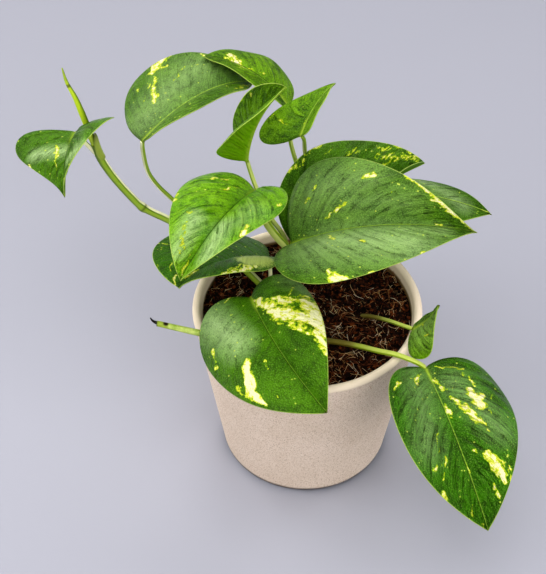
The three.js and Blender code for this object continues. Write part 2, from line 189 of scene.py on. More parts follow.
def stops(value, *steps):
    """A run of colours, each given with its place from 0 to 1."""
    run = add(value.tree, "ShaderNodeValToRGB", {0: value})
    elements = run.socket.node.color_ramp.elements
    while len(elements) < len(steps):
        elements.new(0.5)
    for element, (place, code) in zip(elements, steps):
        element.position = place
        element.color = tone(code)
    return run


def raised(height, distance, strength=1.0, over=None):
    inputs = {"Height": height, "Distance": distance, "Strength": strength}
    return add(height.tree, "ShaderNodeBump", inputs | ({"Normal": over} if over else {}))


def field(tree, name, output="Fac"):
    return add(tree, "ShaderNodeAttribute", output=output, attribute_name=name)


def place_on(tree):
    """Where on its object a point lies, in metres."""
    return add(tree, "ShaderNodeTexCoord", output="Object")


def new_finish(name):
    material = bpy.data.materials.new(name)
    material.use_nodes = True
    return material, material.node_tree


def end_finish(material, colour, rough, relief, gloss=0.5, tint="#ffffff"):
    feed(material.node_tree.nodes["Principled BSDF"], {
        "Base Color": colour, "Roughness": rough, "Normal": relief,
        "Specular IOR Level": gloss, "Specular Tint": tint,
    })
    return material


def new_graph(name, **sockets):
    """A Geometry Nodes tree and the wires of its named inputs. The finish is always one of them."""
    tree = bpy.data.node_groups.new(name, "GeometryNodeTree")
    for label, kind in {"Geometry": "Geometry", **sockets, "Finish": "Material"}.items():
        tree.interface.new_socket(label, in_out="INPUT", socket_type="NodeSocket" + kind)
    tree.interface.new_socket("Geometry", in_out="OUTPUT", socket_type="NodeSocketGeometry")
    outputs = tree.nodes.new("NodeGroupInput").outputs
    return tree, {socket.name: Wire(socket) for socket in outputs if socket.name}


def end_graph(tree, geometry, finish):
    real = add(tree, "GeometryNodeRealizeInstances", {"Geometry": geometry})
    smooth = add(tree, "GeometryNodeSetShadeSmooth", {"Geometry": real})
    finished = add(tree, "GeometryNodeSetMaterial", {"Geometry": smooth, "Material": finish})
    add(tree, "NodeGroupOutput", {"Geometry": finished})
    return tree


def made_by(tree, source, name, **values):
    """What the tree makes of the source, as a plain mesh. The source goes."""
    modifier = source.modifiers.new(name, "NODES")
    modifier.node_group = tree
    for socket in tree.interface.items_tree:
        if socket.in_out == "INPUT" and socket.name in values:
            modifier[socket.identifier] = values[socket.name]
    bpy.context.view_layer.update()
    depsgraph = bpy.context.evaluated_depsgraph_get()
    mesh = bpy.data.meshes.new_from_object(source.evaluated_get(depsgraph), depsgraph=depsgraph)
    source.modifiers.remove(modifier)
    bpy.data.objects.remove(source)
    mesh.name = name
    return shown(mesh, name)


def shown(mesh, name):
    piece = bpy.data.objects.new(name, mesh)
    bpy.context.collection.objects.link(piece)
    return piece


def new_mesh(name, points, edges=(), faces=(), **fields):
    """Points in millimetres, their edges or faces, and fields with a number or vector a point."""
    mesh = bpy.data.meshes.new(name)
    mesh.from_pydata([tuple(float(c) * MM for c in point) for point in points], edges, faces)
    for key, values in fields.items():
        values = np.asarray(values, np.float32)
        kind, part = ("FLOAT_VECTOR", "vector") if values.ndim == 2 else ("FLOAT", "value")
        mesh.attributes.new(key, kind, "POINT").data.foreach_set(part, values.ravel())
    if faces:
        mesh.shade_smooth()
    return shown(mesh, name)


def fit(piece, slot, *nodes):
    """The piece stands for these nodes of the frame. The slot is not used."""
    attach(piece, "root")
    if nodes:
        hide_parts(*nodes)


def stoneware():
    material, tree = new_finish("speckled stoneware")
    place = place_on(tree)
    edge = split(place)[2] + cloud(place, 60, 3) * 0.0016
    lined = field(tree, "inside")
    rim = maths("MAXIMUM", ranged(edge, 0.0994, 0.1016), lined)
    body = stops(cloud(place, 34, 4, 0.6), (0.3, "#e3d0bd"), (0.7, "#eedccb"))
    grain = cloud(place, 1500, 3, 0.7)
    pale = cells(place, 1000)
    skin = mixed(ranged(grain, 0.38, 0.52), "#cdb7a0", body)
    skin = coated(skin, ("#fbf2e6", pale, 0.24, 0.1, 1.0), ("#93795f", cells(place, 640), 0.2, 0.1, 0.8))
    skin = mixed(rim * 0.95, skin, "#eddcc4")
    # Painted contact shadow: a dark brown-grey band round the foot, over its lowest few millimetres.
    skin = coated(skin, ("#453a34", edge, 0.0062, 0.0036, 0.9))
    lining = mixed(cloud(place, 260, 3), "#5a4426", "#94784c")
    skin = mixed(lined * ranged(edge, 0.0996, 0.0976), skin, lining)
    relief = raised((grain + pale * 0.5) * (1.0 - rim * 0.8), 0.0003, 0.55)
    return end_finish(material, skin, ranged(rim, 0, 1, 0.86, 0.6), relief, 0.3)


def wheel():
    """Turns a half section, drawn from the hub outwards, round the upright axis."""
    tree, inlet = new_graph("thrown on the wheel", Hub="Float", Sides="Int")
    section = add(tree, "GeometryNodeMeshToCurve", {0: inlet["Geometry"]})
    round_hub = {"Resolution": inlet["Sides"], "Radius": inlet["Hub"]}
    hub = add(tree, "GeometryNodeCurvePrimitiveCircle", round_hub)
    ring = add(tree, "GeometryNodeSetCurveNormal", {0: hub}, mode="Z_UP")
    turned = add(tree, "GeometryNodeCurveToMesh", {"Curve": ring, "Profile Curve": section})
    closed = add(tree, "GeometryNodeMergeByDistance", {"Geometry": turned, "Distance": 0.00002})
    return end_graph(tree, closed, inlet["Finish"])


section, inside = pot_section()
outline = new_mesh(
    "pot section",
    [(radius - HUB, -z, 0) for radius, z in section],
    edges=[(i, i + 1) for i in range(len(section) - 1)],
    inside=inside,
)
pot = made_by(wheel(), outline, "stoneware_pot", Hub=HUB * MM, Sides=POT_SIDES, Finish=stoneware())
fit(pot, "pot", "pot")

# Soil. Peat and coir fill the pot to a few millimetres below the rim. The surface is loose and
# uneven, with crumbs of peat and many fine tan and reddish coir fibres lying over it by chance.
SOIL_TOP = 96.3
SOIL_BOTTOM = 10.3
SOIL_HUMPS = ((0.9, 0.16, 0.11, 1.3), (0.6, -0.24, 0.27, 0.4), (0.4, 0.43, -0.36, 2.1))
SOIL_CLODS = ((0.55, 0.9, 0.5, 0.2), (0.45, -0.6, 1.1, 2.2), (0.35, 1.7, -1.3, 0.9), (0.3, 2.1, 2.6, 1.7))

# What is strewn over it: how many to a square metre, and their sizes in metres.
CRUMBS = {"Density": 220000.0, "Smallest": 0.0004, "Largest": 0.0014, "Seed": 4}
FIBRES = {"Density": 170000.0, "Length": 0.013, "Thickness": 0.00011, "Seed": 8}


def soil_height(x, y):
    height = SOIL_TOP
    for rise, per_x, per_y, shift in SOIL_HUMPS:
        height += rise * np.sin(per_x * x + per_y * y + shift)
    for rise, per_x, per_y, shift in SOIL_CLODS:
        bent = per_x * x + shift + 1.7 * np.sin(per_y * y * 0.7)
        height += rise * np.sin(bent) * np.sin(per_y * y + shift)
    return height


def soil_mesh(name, rings, sides, closed):
    """The soil's top, closed down to its bottom or left as a thin skin to strew things on."""
    edge = inner_radius(SOIL_TOP) - 0.25
    turns = [2 * math.pi * side / sides for side in range(sides)]
    points = [(0, 0, soil_height(0, 0))]
    for ring in range(1, rings + 1):
        for turn in turns:
            x, y = (edge * ring / rings * f(turn) for f in (math.cos, math.sin))
            points.append((x, y, soil_height(x, y)))
    if closed:
        base = inner_radius(SOIL_BOTTOM) - 0.48
        points += [(base * math.cos(turn), base * math.sin(turn), SOIL_BOTTOM) for turn in turns]
        points.append((0, 0, SOIL_BOTTOM))
    last = rings + closed

    def at(ring, side):
        return 1 + (ring - 1) * sides + side % sides

    faces = []
    for side in range(sides):
        faces.append((0, at(1, side), at(1, side + 1)))
        for r in range(1, last):
            faces.append((at(r, side), at(r + 1, side), at(r + 1, side + 1), at(r, side + 1)))
        if closed:
            faces.append((len(points) - 1, at(last, side + 1), at(last, side)))
    return new_mesh(name, points, faces=faces)


def peat(name, scale, *steps):
    material, tree = new_finish(name)
    place = place_on(tree)
    mottle = stops(cloud(place, scale, 5, 0.7, 0.6), *steps)
    return end_finish(material, mottle, 0.95, raised(cloud(place, 1500, 4, 0.75), 0.0008), 0.2)


def coir():
    material, tree = new_finish("coir fibre")
    place = place_on(tree)
    shade = stops(
        field(tree, "tint"),
        (0.0, "#2c1208"), (0.4, "#84421e"), (0.65, "#c48c50"), (0.88, "#f4d8a4"), (1.0, "#fff6dc"),
    )
    ends = mixed(cloud(place, 420, 2), shade, "#5c3a22")
    relief = raised(cloud(place, 5200, 2), 0.0001)
    return end_finish(material, mixed(0.2, shade, ends), 0.6, relief)


def joined(*parts):
    return add(tree_of(parts), "ShaderNodeCombineXYZ", dict(enumerate(parts)))


def chance(tree, seed, low, high):
    return add(tree, "FunctionNodeRandomValue", {2: low, 3: high, "Seed": seed}, output=1)


def chance_turn(tree, seed, low, high):
    inputs = {"Min": low, "Max": high, "Seed": seed}
    return add(tree, "FunctionNodeRandomValue", inputs, data_type="FLOAT_VECTOR")


def strewn(tree, inlet, thing, turn, size):
    """The thing many times over, at places on the ground chosen by chance."""
    ground = {"Mesh": inlet["Geometry"], "Density": inlet["Density"], "Seed": inlet["Seed"]}
    places = add(tree, "GeometryNodeDistributePointsOnFaces", ground)
    inputs = {"Points": places, "Instance": thing, "Rotation": turn, "Scale": size}
    return add(tree, "GeometryNodeInstanceOnPoints", inputs)


def shaken(tree, things, scale, reach):
    """Makes the things real and moves every point of them by a smooth random step."""
    real = add(tree, "GeometryNodeRealizeInstances", {0: things})
    where = add(tree, "GeometryNodeInputPosition")
    random = cloud(where, scale).also("Color")
    centred = add(tree, "ShaderNodeVectorMath", {0: random, 1: (0.5, 0.5, 0.5)}, operation="SUBTRACT")
    step = add(tree, "ShaderNodeVectorMath", {0: centred, "Scale": reach * 2}, operation="SCALE")
    return add(tree, "GeometryNodeSetPosition", {"Geometry": real, "Offset": step})


def crumbs():
    """Lumps of peat, each turned, sized and flattened by chance, then roughened."""
    tree, inlet = new_graph("peat crumbs", Density="Float", Smallest="Float", Largest="Float", Seed="Int")
    lump = add(tree, "GeometryNodeMeshIcoSphere", {"Radius": 1.0, "Subdivisions": 2})
    long = chance(tree, inlet["Seed"], inlet["Smallest"], inlet["Largest"])
    size = joined(long, long * chance(tree, 11, 0.6, 1.2), long * chance(tree, 7, 0.45, 0.9))
    turn = chance_turn(tree, 3, (0, 0, 0), (6.28, 6.28, 6.28))
    lumps = strewn(tree, inlet, lump, turn, size)
    return end_graph(tree, shaken(tree, lumps, 900, 0.0011), inlet["Finish"])


def fibres():
    """Fine hairs of coir laid nearly flat by chance, bent, and each with its own tint."""
    tree, inlet = new_graph("coir fibres", Density="Float", Length="Float", Thickness="Float", Seed="Int")
    hair = add(tree, "GeometryNodeCurvePrimitiveLine", {"Start": (-0.5, 0, 0), "End": (0.5, 0, 0)})
    jointed = add(tree, "GeometryNodeResampleCurve", {"Curve": hair, "Count": 8})
    turn = chance_turn(tree, 5, (-0.35, -0.5, 0), (0.35, 0.5, 6.28))
    laid = strewn(tree, inlet, jointed, turn, inlet["Length"] * chance(tree, 9, 0.25, 1.0))
    tint = {"Geometry": laid, "Name": "tint", "Value": chance(tree, 13, 0.0, 1.0)}
    tinted = add(tree, "GeometryNodeStoreNamedAttribute", tint, domain="INSTANCE")
    bent = shaken(tree, tinted, 110, 0.004)
    thin = {"Resolution": 3, "Radius": inlet["Thickness"]}
    section = add(tree, "GeometryNodeCurvePrimitiveCircle", thin)
    drawn = {"Curve": bent, "Profile Curve": section, "Fill Caps": True}
    return end_graph(tree, add(tree, "GeometryNodeCurveToMesh", drawn), inlet["Finish"])


# The peat's colours from its hollows to its crests.
DAMP = (0.4, "#080403"), (0.52, "#1e0e07"), (0.62, "#4c2614"), (0.78, "#8a5230")
DRY = (0.4, "#0a0503"), (0.5, "#30160a"), (0.6, "#84441f"), (0.76, "#cc9058")
soil = soil_mesh("soil_bed", rings=56, sides=150, closed=True)
soil.data.materials.append(peat("damp peat", 420, *DAMP))
fit(soil, "soil", "soil")
strewn_with = (
    ("soil_crumbs", crumbs(), {**CRUMBS, "Finish": peat("peat crumb", 300, *DRY)}),
    ("soil_fibres", fibres(), {**FIBRES, "Finish": coir()}),
)
for name, graph, values in strewn_with:
    bed = soil_mesh("bed", rings=30, sides=80, closed=False)
    fit(made_by(graph, bed, name, **values), "soil")

# Stems. Vines and petioles are firm and juicy, each with a shallow channel along one side whose
# edges are pale. They root in the soil, swell to a ring where a leaf grows out, and end in a blade.
VINE = 2.2
STEM_SIDES = 20

# Each branch: its radius at its two ends, the way its channel faces, and points along its route.
STEMS = {
    "vine_left": [
        (VINE, VINE, (0.545, 0.533, 0.648), [
            (-16, 8, 86), (-20.6, 14.3, 96), (-31.7, 23.5, 103.5), (-43.4, 32.5, 108.5),
            (-54.2, 39.6, 111.5), (-64, 43.2, 115.5), (-74.3, 43.6, 122.5), (-86.6, 43, 131.6),
            (-92.8, 43, 140), (-102, 43, 155.9), (-106.3, 42.5, 167), (-108, 42.4, 175)]),
        (1.35, 1.15, (-0.814, -0.47, -0.34), [
            (-63, 43, 115.2), (-64.5, 45, 124.2), (-70.6, 44.5, 134.9), (-77.8, 43, 146.3),
            (-82.2, 42, 156.7), (-83.8, 40.4, 173), (-83.6, 39.8, 178.6)]),
        (1.1, 1.1, (0, -1, 0), [
            (-22.5, 16, 98), (-19.5, 17.2, 104), (-19.4, 18.9, 109.5), (-19.8, 19.6, 113)]),
        (1.2, 1.1, (0, -1, 0.4), [
            (-105, 42.8, 164), (-110, 41.6, 172.6), (-114.2, 40.2, 180), (-115.8, 38.4, 185.6)]),
    ],
    "vine_centre": [
        (VINE, VINE * 0.95, (-0.5, -0.8, 0.3), [
            (-3, 28, 86), (-4.5, 27, 96), (-11, 24, 120.5), (-15.3, 25, 126), (-20.5, 26, 134.4),
            (-23.5, 25, 144.4)]),
        (1.7, 1.35, (-0.5, -0.8, 0.3), [
            (-22.8, 25.3, 142), (-25, 23.5, 150), (-26.8, 20.5, 158.5), (-27, 18.2, 164.4)]),
        (1.3, 1.1, (0.7, -0.6, 0.2), [
            (-7, 26, 104), (-12.5, 31.4, 121.9), (-18.5, 30.6, 134.2), (-25.6, 31, 152.7),
            (-29.3, 33, 164.5), (-30.8, 32.2, 172)]),
        (1.4, 1.2, (0, -1, 0.3), [
            (-5, 26.5, 99), (-7.5, 20, 112), (-8.8, 15.8, 124), (-8.1, 14.6, 131.2)]),
    ],
    "stem_back": [
        (VINE, VINE * 0.9, (0, -1, 0.3), [(3, 45, 86), (2, 46, 96), (0.5, 47.5, 110)]),
        (1.3, 1.15, (0.8, -0.5, 0.3), [
            (1, 47.2, 106), (-1, 55, 122), (-4, 63, 138), (-8.3, 73, 150), (-10, 80, 159.5),
            (-10, 83, 166.6)]),
        (1.3, 1.1, (-0.8, -0.5, 0.3), [
            (0.7, 47.4, 108), (0.4, 59, 124), (-0.4, 66.5, 141), (-1.2, 65, 153), (-2, 57, 166),
            (-3.2, 52.9, 171.4)]),
        (1.4, 1.2, (0, -1, 0.3), [(2, 46, 98), (-3, 41, 104.5), (-6.8, 34, 112.5), (-7.9, 31.2, 117.2)]),
        (1.4, 1.2, (0, -0.4, 1), [
            (1.8, 46.2, 101), (11, 51, 110), (24, 58, 119.5), (33, 61.6, 123.6), (35.6, 62.4, 124.5)]),
    ],
    "petiole_front": [
        (1.4, 1.2, (0.3, -0.6, 0.7), [
            (-18, 1, 86), (-20, -1, 96), (-25, -7, 109), (-28.3, -11.8, 117.6), (-28.9, -12.9, 119.8)]),
    ],
    "petiole_trailing": [
        (1.7, 1.3, (0.1, -0.1, 1), [
            (-16, -15, 86), (-6, -17.5, 93.5), (9.7, -22.6, 98.5), (16.3, -24.9, 99.8),
            (26.2, -29.4, 101.8), (35.9, -34.9, 104.2), (43.2, -38.3, 105.8), (50.5, -41, 104.9),
            (55.2, -41.4, 102.2), (58.1, -41.4, 99.5)]),
    ],
    "petiole_rim": [
        (1.2, 1.05, (0.1, -0.4, 1), [
            (20, 4, 86), (28.7, -2.1, 95.5), (35.1, -6.8, 99.5), (42.3, -13.4, 103.5),
            (46.9, -18.4, 106.3), (52.6, -24.5, 109.7)]),
    ],
}
RINGS = {
    "vine_left": [(-86.6, 43, 131.6), (-62.5, 42.8, 114.8)],
    "vine_centre": [(-23.1, 25.2, 143)],
    "stem_back": [(0.7, 47.3, 108), (2, 46, 99.5)],
}


def travelled(line, power=1.0):
    """How far along the line each of its points lies."""
    steps = np.linalg.norm(np.diff(line, axis=0), axis=1)
    return np.concatenate([[0], np.cumsum(steps**power)])


def smooth_route(points, step=0.9):
    """The route as close points on one smooth curve through the chosen points."""
    points = np.array(points, float)
    ends = np.vstack([2 * points[0] - points[1], points, 2 * points[-1] - points[-2]])
    knots = travelled(ends, 0.5)
    line = []
    for i in range(1, len(ends) - 2):
        a, b, c, d = ends[i - 1 : i + 3]
        t0, t1, t2, t3 = knots[i - 1 : i + 3]
        for t in np.linspace(t1, t2, max(3, int(np.linalg.norm(c - b) / step)), endpoint=False):
            ab = a + (b - a) * (t - t0) / (t1 - t0)
            bc = b + (c - b) * (t - t1) / (t2 - t1)
            cd = c + (d - c) * (t - t2) / (t3 - t2)
            abc = ab + (bc - ab) * (t - t0) / (t2 - t0)
            bcd = bc + (cd - bc) * (t - t1) / (t3 - t1)
            line.append(abc + (bcd - abc) * (t - t1) / (t2 - t1))
    return np.array(line + [points[-1]])


def sides_along(line, facing):
    """At each point, the direction square to the line that lies nearest to facing, and the other."""
    ahead = np.gradient(line, axis=0)
    ahead /= np.linalg.norm(ahead, axis=1)[:, None]
    side = np.array(facing, float) - ahead * (ahead @ np.array(facing, float))[:, None]
    side /= np.linalg.norm(side, axis=1)[:, None]
    return side, np.cross(ahead, side)


def route_mesh(name, branches, rings=()):
    """All branches as lines of points that carry their width, channel side, reach and rings. The
    first one swells at the rings, and every other widens to a foot where it starts."""
    points, edges = [], []
    fields = {key: [] for key in ("width", "side", "reach", "ring", "grown")}
    for number, (first, last, facing, route) in enumerate(branches):
        line = smooth_route(route)
        gone = travelled(line)
        share = gone / gone[-1]
        near = np.full(len(line), np.inf)
        if rings and not number:
            near = np.min([np.linalg.norm(line - np.array(ring), axis=1) for ring in rings], axis=0)
        foot = 0.35 * np.exp(-((gone / 5.0) ** 2)) if number else 0
        swell = 1 + 0.24 * np.exp(-((near / 2.1) ** 2)) + foot
        width = (first + (last - first) * share) * swell * MM
        ring = np.exp(-((near / 0.7) ** 2))
        edges += [(len(points) + i, len(points) + i + 1) for i in range(len(line) - 1)]
        points += line.tolist()
        for key, values in zip(fields, (width, sides_along(line, facing)[0], gone, ring, share)):
            fields[key] += values.tolist()
    return new_mesh(name, points, edges, **fields)


def stem_graph():
    """Sweeps a round section with a channel along each line and notes where round it points lie."""
    tree, inlet = new_graph("stem along its route", Channel="Float", Sides="Int")
    lines = add(tree, "GeometryNodeMeshToCurve", {0: inlet["Geometry"]})
    carried = "GeometryNodeInputNamedAttribute"
    side = add(tree, carried, {"Name": "side"}, data_type="FLOAT_VECTOR")
    width = add(tree, carried, {"Name": "width"}, data_type="FLOAT")
    aimed = add(tree, "GeometryNodeSetCurveNormal", {0: lines, "Normal": side}, mode="FREE")
    round_one = {"Resolution": inlet["Sides"], "Radius": 1.0}
    ring = add(tree, "GeometryNodeCurvePrimitiveCircle", round_one)
    where = add(tree, "GeometryNodeInputPosition")
    note = {"Geometry": ring, "Name": "round", "Value": where}
    noted = add(tree, "GeometryNodeStoreNamedAttribute", note, data_type="FLOAT_VECTOR")
    facing = maths("MAXIMUM", split(where)[0], 0.0)
    hollow = maths("POWER", facing, 9.0) * inlet["Channel"]
    inward = {0: where, "Scale": 1.0 - hollow}
    drawn_in = add(tree, "ShaderNodeVectorMath", inward, operation="SCALE")
    section = add(tree, "GeometryNodeSetPosition", {"Geometry": noted, "Position": drawn_in})
    swept = {"Curve": aimed, "Profile Curve": section, "Scale": width, "Fill Caps": True}
    return end_graph(tree, add(tree, "GeometryNodeCurveToMesh", swept), inlet["Finish"])


def wander(value, reach):
    """A cloud's value, swung about zero."""
    return (value - 0.5) * reach


def stem_skin(name, deep, fresh, line, rooted, aged):
    """Green skin with a pale line on each side of the channel, olive where it nears the soil."""
    material, tree = new_finish(name)
    place = place_on(tree)
    x, y, _ = split(field(tree, "round", "Vector"))
    streaks = cloud(joined(x * 2.6, y * 2.6, field(tree, "reach") * 0.05), 1.6, 4, 0.6)
    patches = cloud(place, 60, 3)
    facing = maths("MULTIPLY_ADD", x + wander(streaks, 0.3), 0.5, 0.5)
    bands = (0.05, deep), (0.25, fresh), (0.5, fresh), (0.68, deep), (0.75, line), (0.98, line)
    green = coated(
        stops(facing, *bands),
        (fresh, patches, 0.4, 0.7, 0.5),
        (rooted, field(tree, "grown") + wander(patches, 0.3), aged, aged - 0.3, 0.88),
    )
    green = mixed(field(tree, "ring") * 0.75, green, "#3f4a12")
    green = coated(green, ("#d3dc8e", cells(place, 1300), 0.14, 0.06, 0.3))
    relief = raised(cloud(place, 2400, 2), 0.00012, 0.5, raised(streaks, 0.0004, 0.5))
    return end_finish(material, green, 0.4, relief, tint=(0.9, 1.0, 0.6, 1.0))


# The long vine carries a cream line, the vines between the leaves and the petioles a faint one.
stems_of = stem_graph()
vine_skin = stem_skin("vine skin", "#5c7c14", "#98b438", "#fffbd0", "#7f8a20", 0.25)
inner_skin = stem_skin("sheltered vine skin", "#658c14", "#a2bc34", "#cfd880", "#7f8a20", 0.25)
petiole_skin = stem_skin("petiole skin", "#789414", "#a0b828", "#c8d668", "#6c5624", 0.72)
vine_skins = {"vine_left": vine_skin, "vine_centre": inner_skin, "stem_back": inner_skin}
for node, branches in STEMS.items():
    skin = vine_skins.get(node, petiole_skin)
    routes = route_mesh("routes", branches, RINGS.get(node, ()))
    stem = made_by(stems_of, routes, "live_" + node, Channel=0.16, Sides=STEM_SIDES, Finish=skin)
    fit(stem, "stem", node)

# Cut stub. An old vine end lies over the left rim, pale where it has faded, with a dark scar near
# its end. The cut has shrunk and dried to a thin black curl.
STUB_ROUTE = [
    (-14, -23, 88), (-24.6, -24, 96.5), (-34.8, -23.2, 99.8), (-45, -23.3, 102.8),
    (-53, -23.5, 104.8), (-65.1, -22.1, 107.2), (-76.8, -20.6, 109.5)]
CURL_ROUTE = [(-75.8, -20.7, 109.4), (-78.8, -19.6, 110.2), (-80.2, -18.6, 111.6)]
SCAR = (-0.0722, -0.0212, 0.1103)


def faded_skin():
    material, tree = new_finish("faded vine end")
    place = place_on(tree)
    streaks = cloud(place, 160, 4, 0.6)
    x = split(place)[0]
    gap = {0: place, 1: SCAR}
    scar = add(tree, "ShaderNodeVectorMath", gap, output="Value", operation="DISTANCE")
    green = coated(
        "#86a42c",
        ("#c8d678", streaks, 0.35, 0.65, 1.0),
        ("#6f8e22", split(field(tree, "round", "Vector"))[0], 0.1, -0.6, 0.85),
        ("#9aad3c", x + streaks * 0.004, -0.0675, -0.0705, 1.0),
        ("#2a1d10", scar, 0.0019, 0.0008, 1.0),
        ("#171310", x + streaks * 0.0016, -0.0752, -0.0763, 1.0),
    )
    return end_finish(material, green, 0.55, raised(cloud(place, 700, 4), 0.0005, 0.6))


stub_branches = [(VINE, 1.45, (0.1, -0.2, 1), STUB_ROUTE), (0.75, 0.3, (0, 0, 1), CURL_ROUTE)]
stub_route = route_mesh("stub route", stub_branches)
stub = made_by(
    stems_of, stub_route, "faded_stub", Channel=0.05, Sides=STEM_SIDES, Finish=faded_skin()
)
fit(stub, "stub", "cut_stub")

# New leaf. It stands rolled up to a spike at the end of the left vine, one margin lying over the
# other, held in the pale sheath that it grew out of.
SPIKE_ROUTE = [
    (-108, 42.6, 174), (-109.4, 42.2, 181.2), (-111.7, 42, 192), (-115, 42, 205),
    (-118.2, 42, 214.2), (-119.5, 42, 222.5)]
SPIKE_WIDTHS = ((0, 1.7), (0.12, 2.0), (0.45, 1.75), (0.72, 1.1), (0.86, 0.75), (1, 0.3))
SHEATH_ROUTE = [(-105.7, 42.7, 165.5), (-107.2, 42.4, 171), (-108.7, 42.1, 178), (-109.9, 41.5, 183.5)]


def rolled_leaf(name, sides):
    """A tube whose radius steps where the outer margin ends, so the roll's seam runs along it."""
    line = smooth_route(SPIKE_ROUTE, 1.2)
    gone = travelled(line)
    share = gone / gone[-1]
    width = np.interp(share, *zip(*SPIKE_WIDTHS))
    side, other = sides_along(line, (0.75, -0.65, 0))
    points, seam, faces = [], [], []
    for i, centre in enumerate(line):
        for k in range(sides):
            overlap = min(1.0, (k / sides) * 7) * (1 - k / sides) ** 0.5 * (k < sides / 2)
            radius = width[i] * (1.0 - 0.3 * overlap if k else 1.08)
            twist = 2 * math.pi * k / sides + 0.9 * share[i]
            points.append(centre + radius * (side[i] * math.cos(twist) + other[i] * math.sin(twist)))
            seam.append(math.exp(-((min(k, sides - k) / 2.2) ** 2)))
    for i in range(len(line) - 1):
        for k in range(sides):
            a, b = i * sides + k, i * sides + (k + 1) % sides
            faces.append((a, b, b + sides, a + sides))
    faces.append(tuple(range(sides))[::-1])
    faces.append(tuple((len(line) - 1) * sides + k for k in range(sides)))
    return new_mesh(name, points, faces=faces, seam=seam, grown=np.repeat(share, sides))


def stretched(place, *scales):
    return add(place.tree, "ShaderNodeMapping", {0: place, 3: scales})


def rolled_skin():
    material, tree = new_finish("rolled young leaf")
    grown = field(tree, "grown")
    streaks = cloud(stretched(place_on(tree), 900, 900, 60), 1.0, 3)
    green = mixed(streaks, "#a9c814", "#d5e63e")
    # Painted shade: a dark green line along the seam, where one margin lies over the other.
    green = coated(
        mixed(field(tree, "seam") * 0.9, green, "#38521a"),
        ("#7e9638", grown, 0.78, 0.9, 0.55),
        ("#3a441c", maths("ABSOLUTE", grown - 0.79), 0.028, 0.008, 0.75),
    )
    return end_finish(material, green, 0.36, raised(streaks, 0.0002, 0.5))


def sheath_flap(name, rows, columns):
    """The split sheath: a thin scale wrapped half round the vine, drawn out to a point."""
    line = smooth_route(SHEATH_ROUTE, 0.8)
    side, other = sides_along(line, (0.85, -0.45, 0.1))

    def pick(values, at):
        return np.array([np.interp(at, range(len(line)), values[:, axis]) for axis in range(3)])

    points, grown, faces = [], [], []
    for skin in (0.1, -0.1):
        for i in range(rows + 1):
            share = i / rows
            at = share * (len(line) - 1)
            half = 1.25 * (1 - share**2) * min(1, 0.4 + 4 * share) + 0.1
            lift = 2.28 + 0.15 * share + 0.7 * share**3
            for j in range(columns + 1):
                turn = half * (2 * j / columns - 1)
                edge = 0.15 * abs(2 * j / columns - 1) ** 3
                spoke = pick(side, at) * math.cos(turn) + pick(other, at) * math.sin(turn)
                points.append(pick(line, at) + spoke * (lift + skin + edge))
                grown.append(share)
    wide = columns + 1
    count = (rows + 1) * wide
    for i in range(rows):
        for j in range(columns):
            a = i * wide + j
            faces.append((a, a + 1, a + 1 + wide, a + wide))
            faces.append((count + a, count + a + wide, count + a + 1 + wide, count + a + 1))
    border = list(range(wide)) + [i * wide + columns for i in range(1, rows + 1)]
    border += [rows * wide + j for j in range(columns - 1, -1, -1)]
    border += [i * wide for i in range(rows - 1, 0, -1)]
    for a, b in zip(border, border[1:] + border[:1]):
        faces.append((b, a, count + a, count + b))
    return new_mesh(name, points, faces=faces, grown=grown)


def sheath_skin():
    material, tree = new_finish("papery sheath")
    ribs = cloud(stretched(place_on(tree), 1600, 1600, 90), 1.0, 2)
    green = coated(mixed(ribs, "#84992c", "#b0be58"), ("#4a4a14", field(tree, "grown"), 0.55, 1.0, 0.85))
    return end_finish(material, green, 0.5, raised(ribs, 0.0003, 0.6))


spike = rolled_leaf("rolled_new_leaf", sides=22)
spike.data.materials.append(rolled_skin())
fit(spike, "spike", "new_leaf_spike")
sheath = sheath_flap("leaf_sheath", rows=22, columns=16)
sheath.data.materials.append(sheath_skin())
fit(sheath, "stem")

# Leaves. Each blade is a thin heart with a midrib, arched side veins and quilted flesh between
# them, waxy above and paler below. Cream and yellow streaks follow the veins, no two leaves alike.
MARGIN_HALF = 0.27
RIPPLE_HEIGHT = 0.6
RIPPLE_WAVES = 2.7
MIDRIB_STEPS = 24
VEIN_SWEEP = 0.17

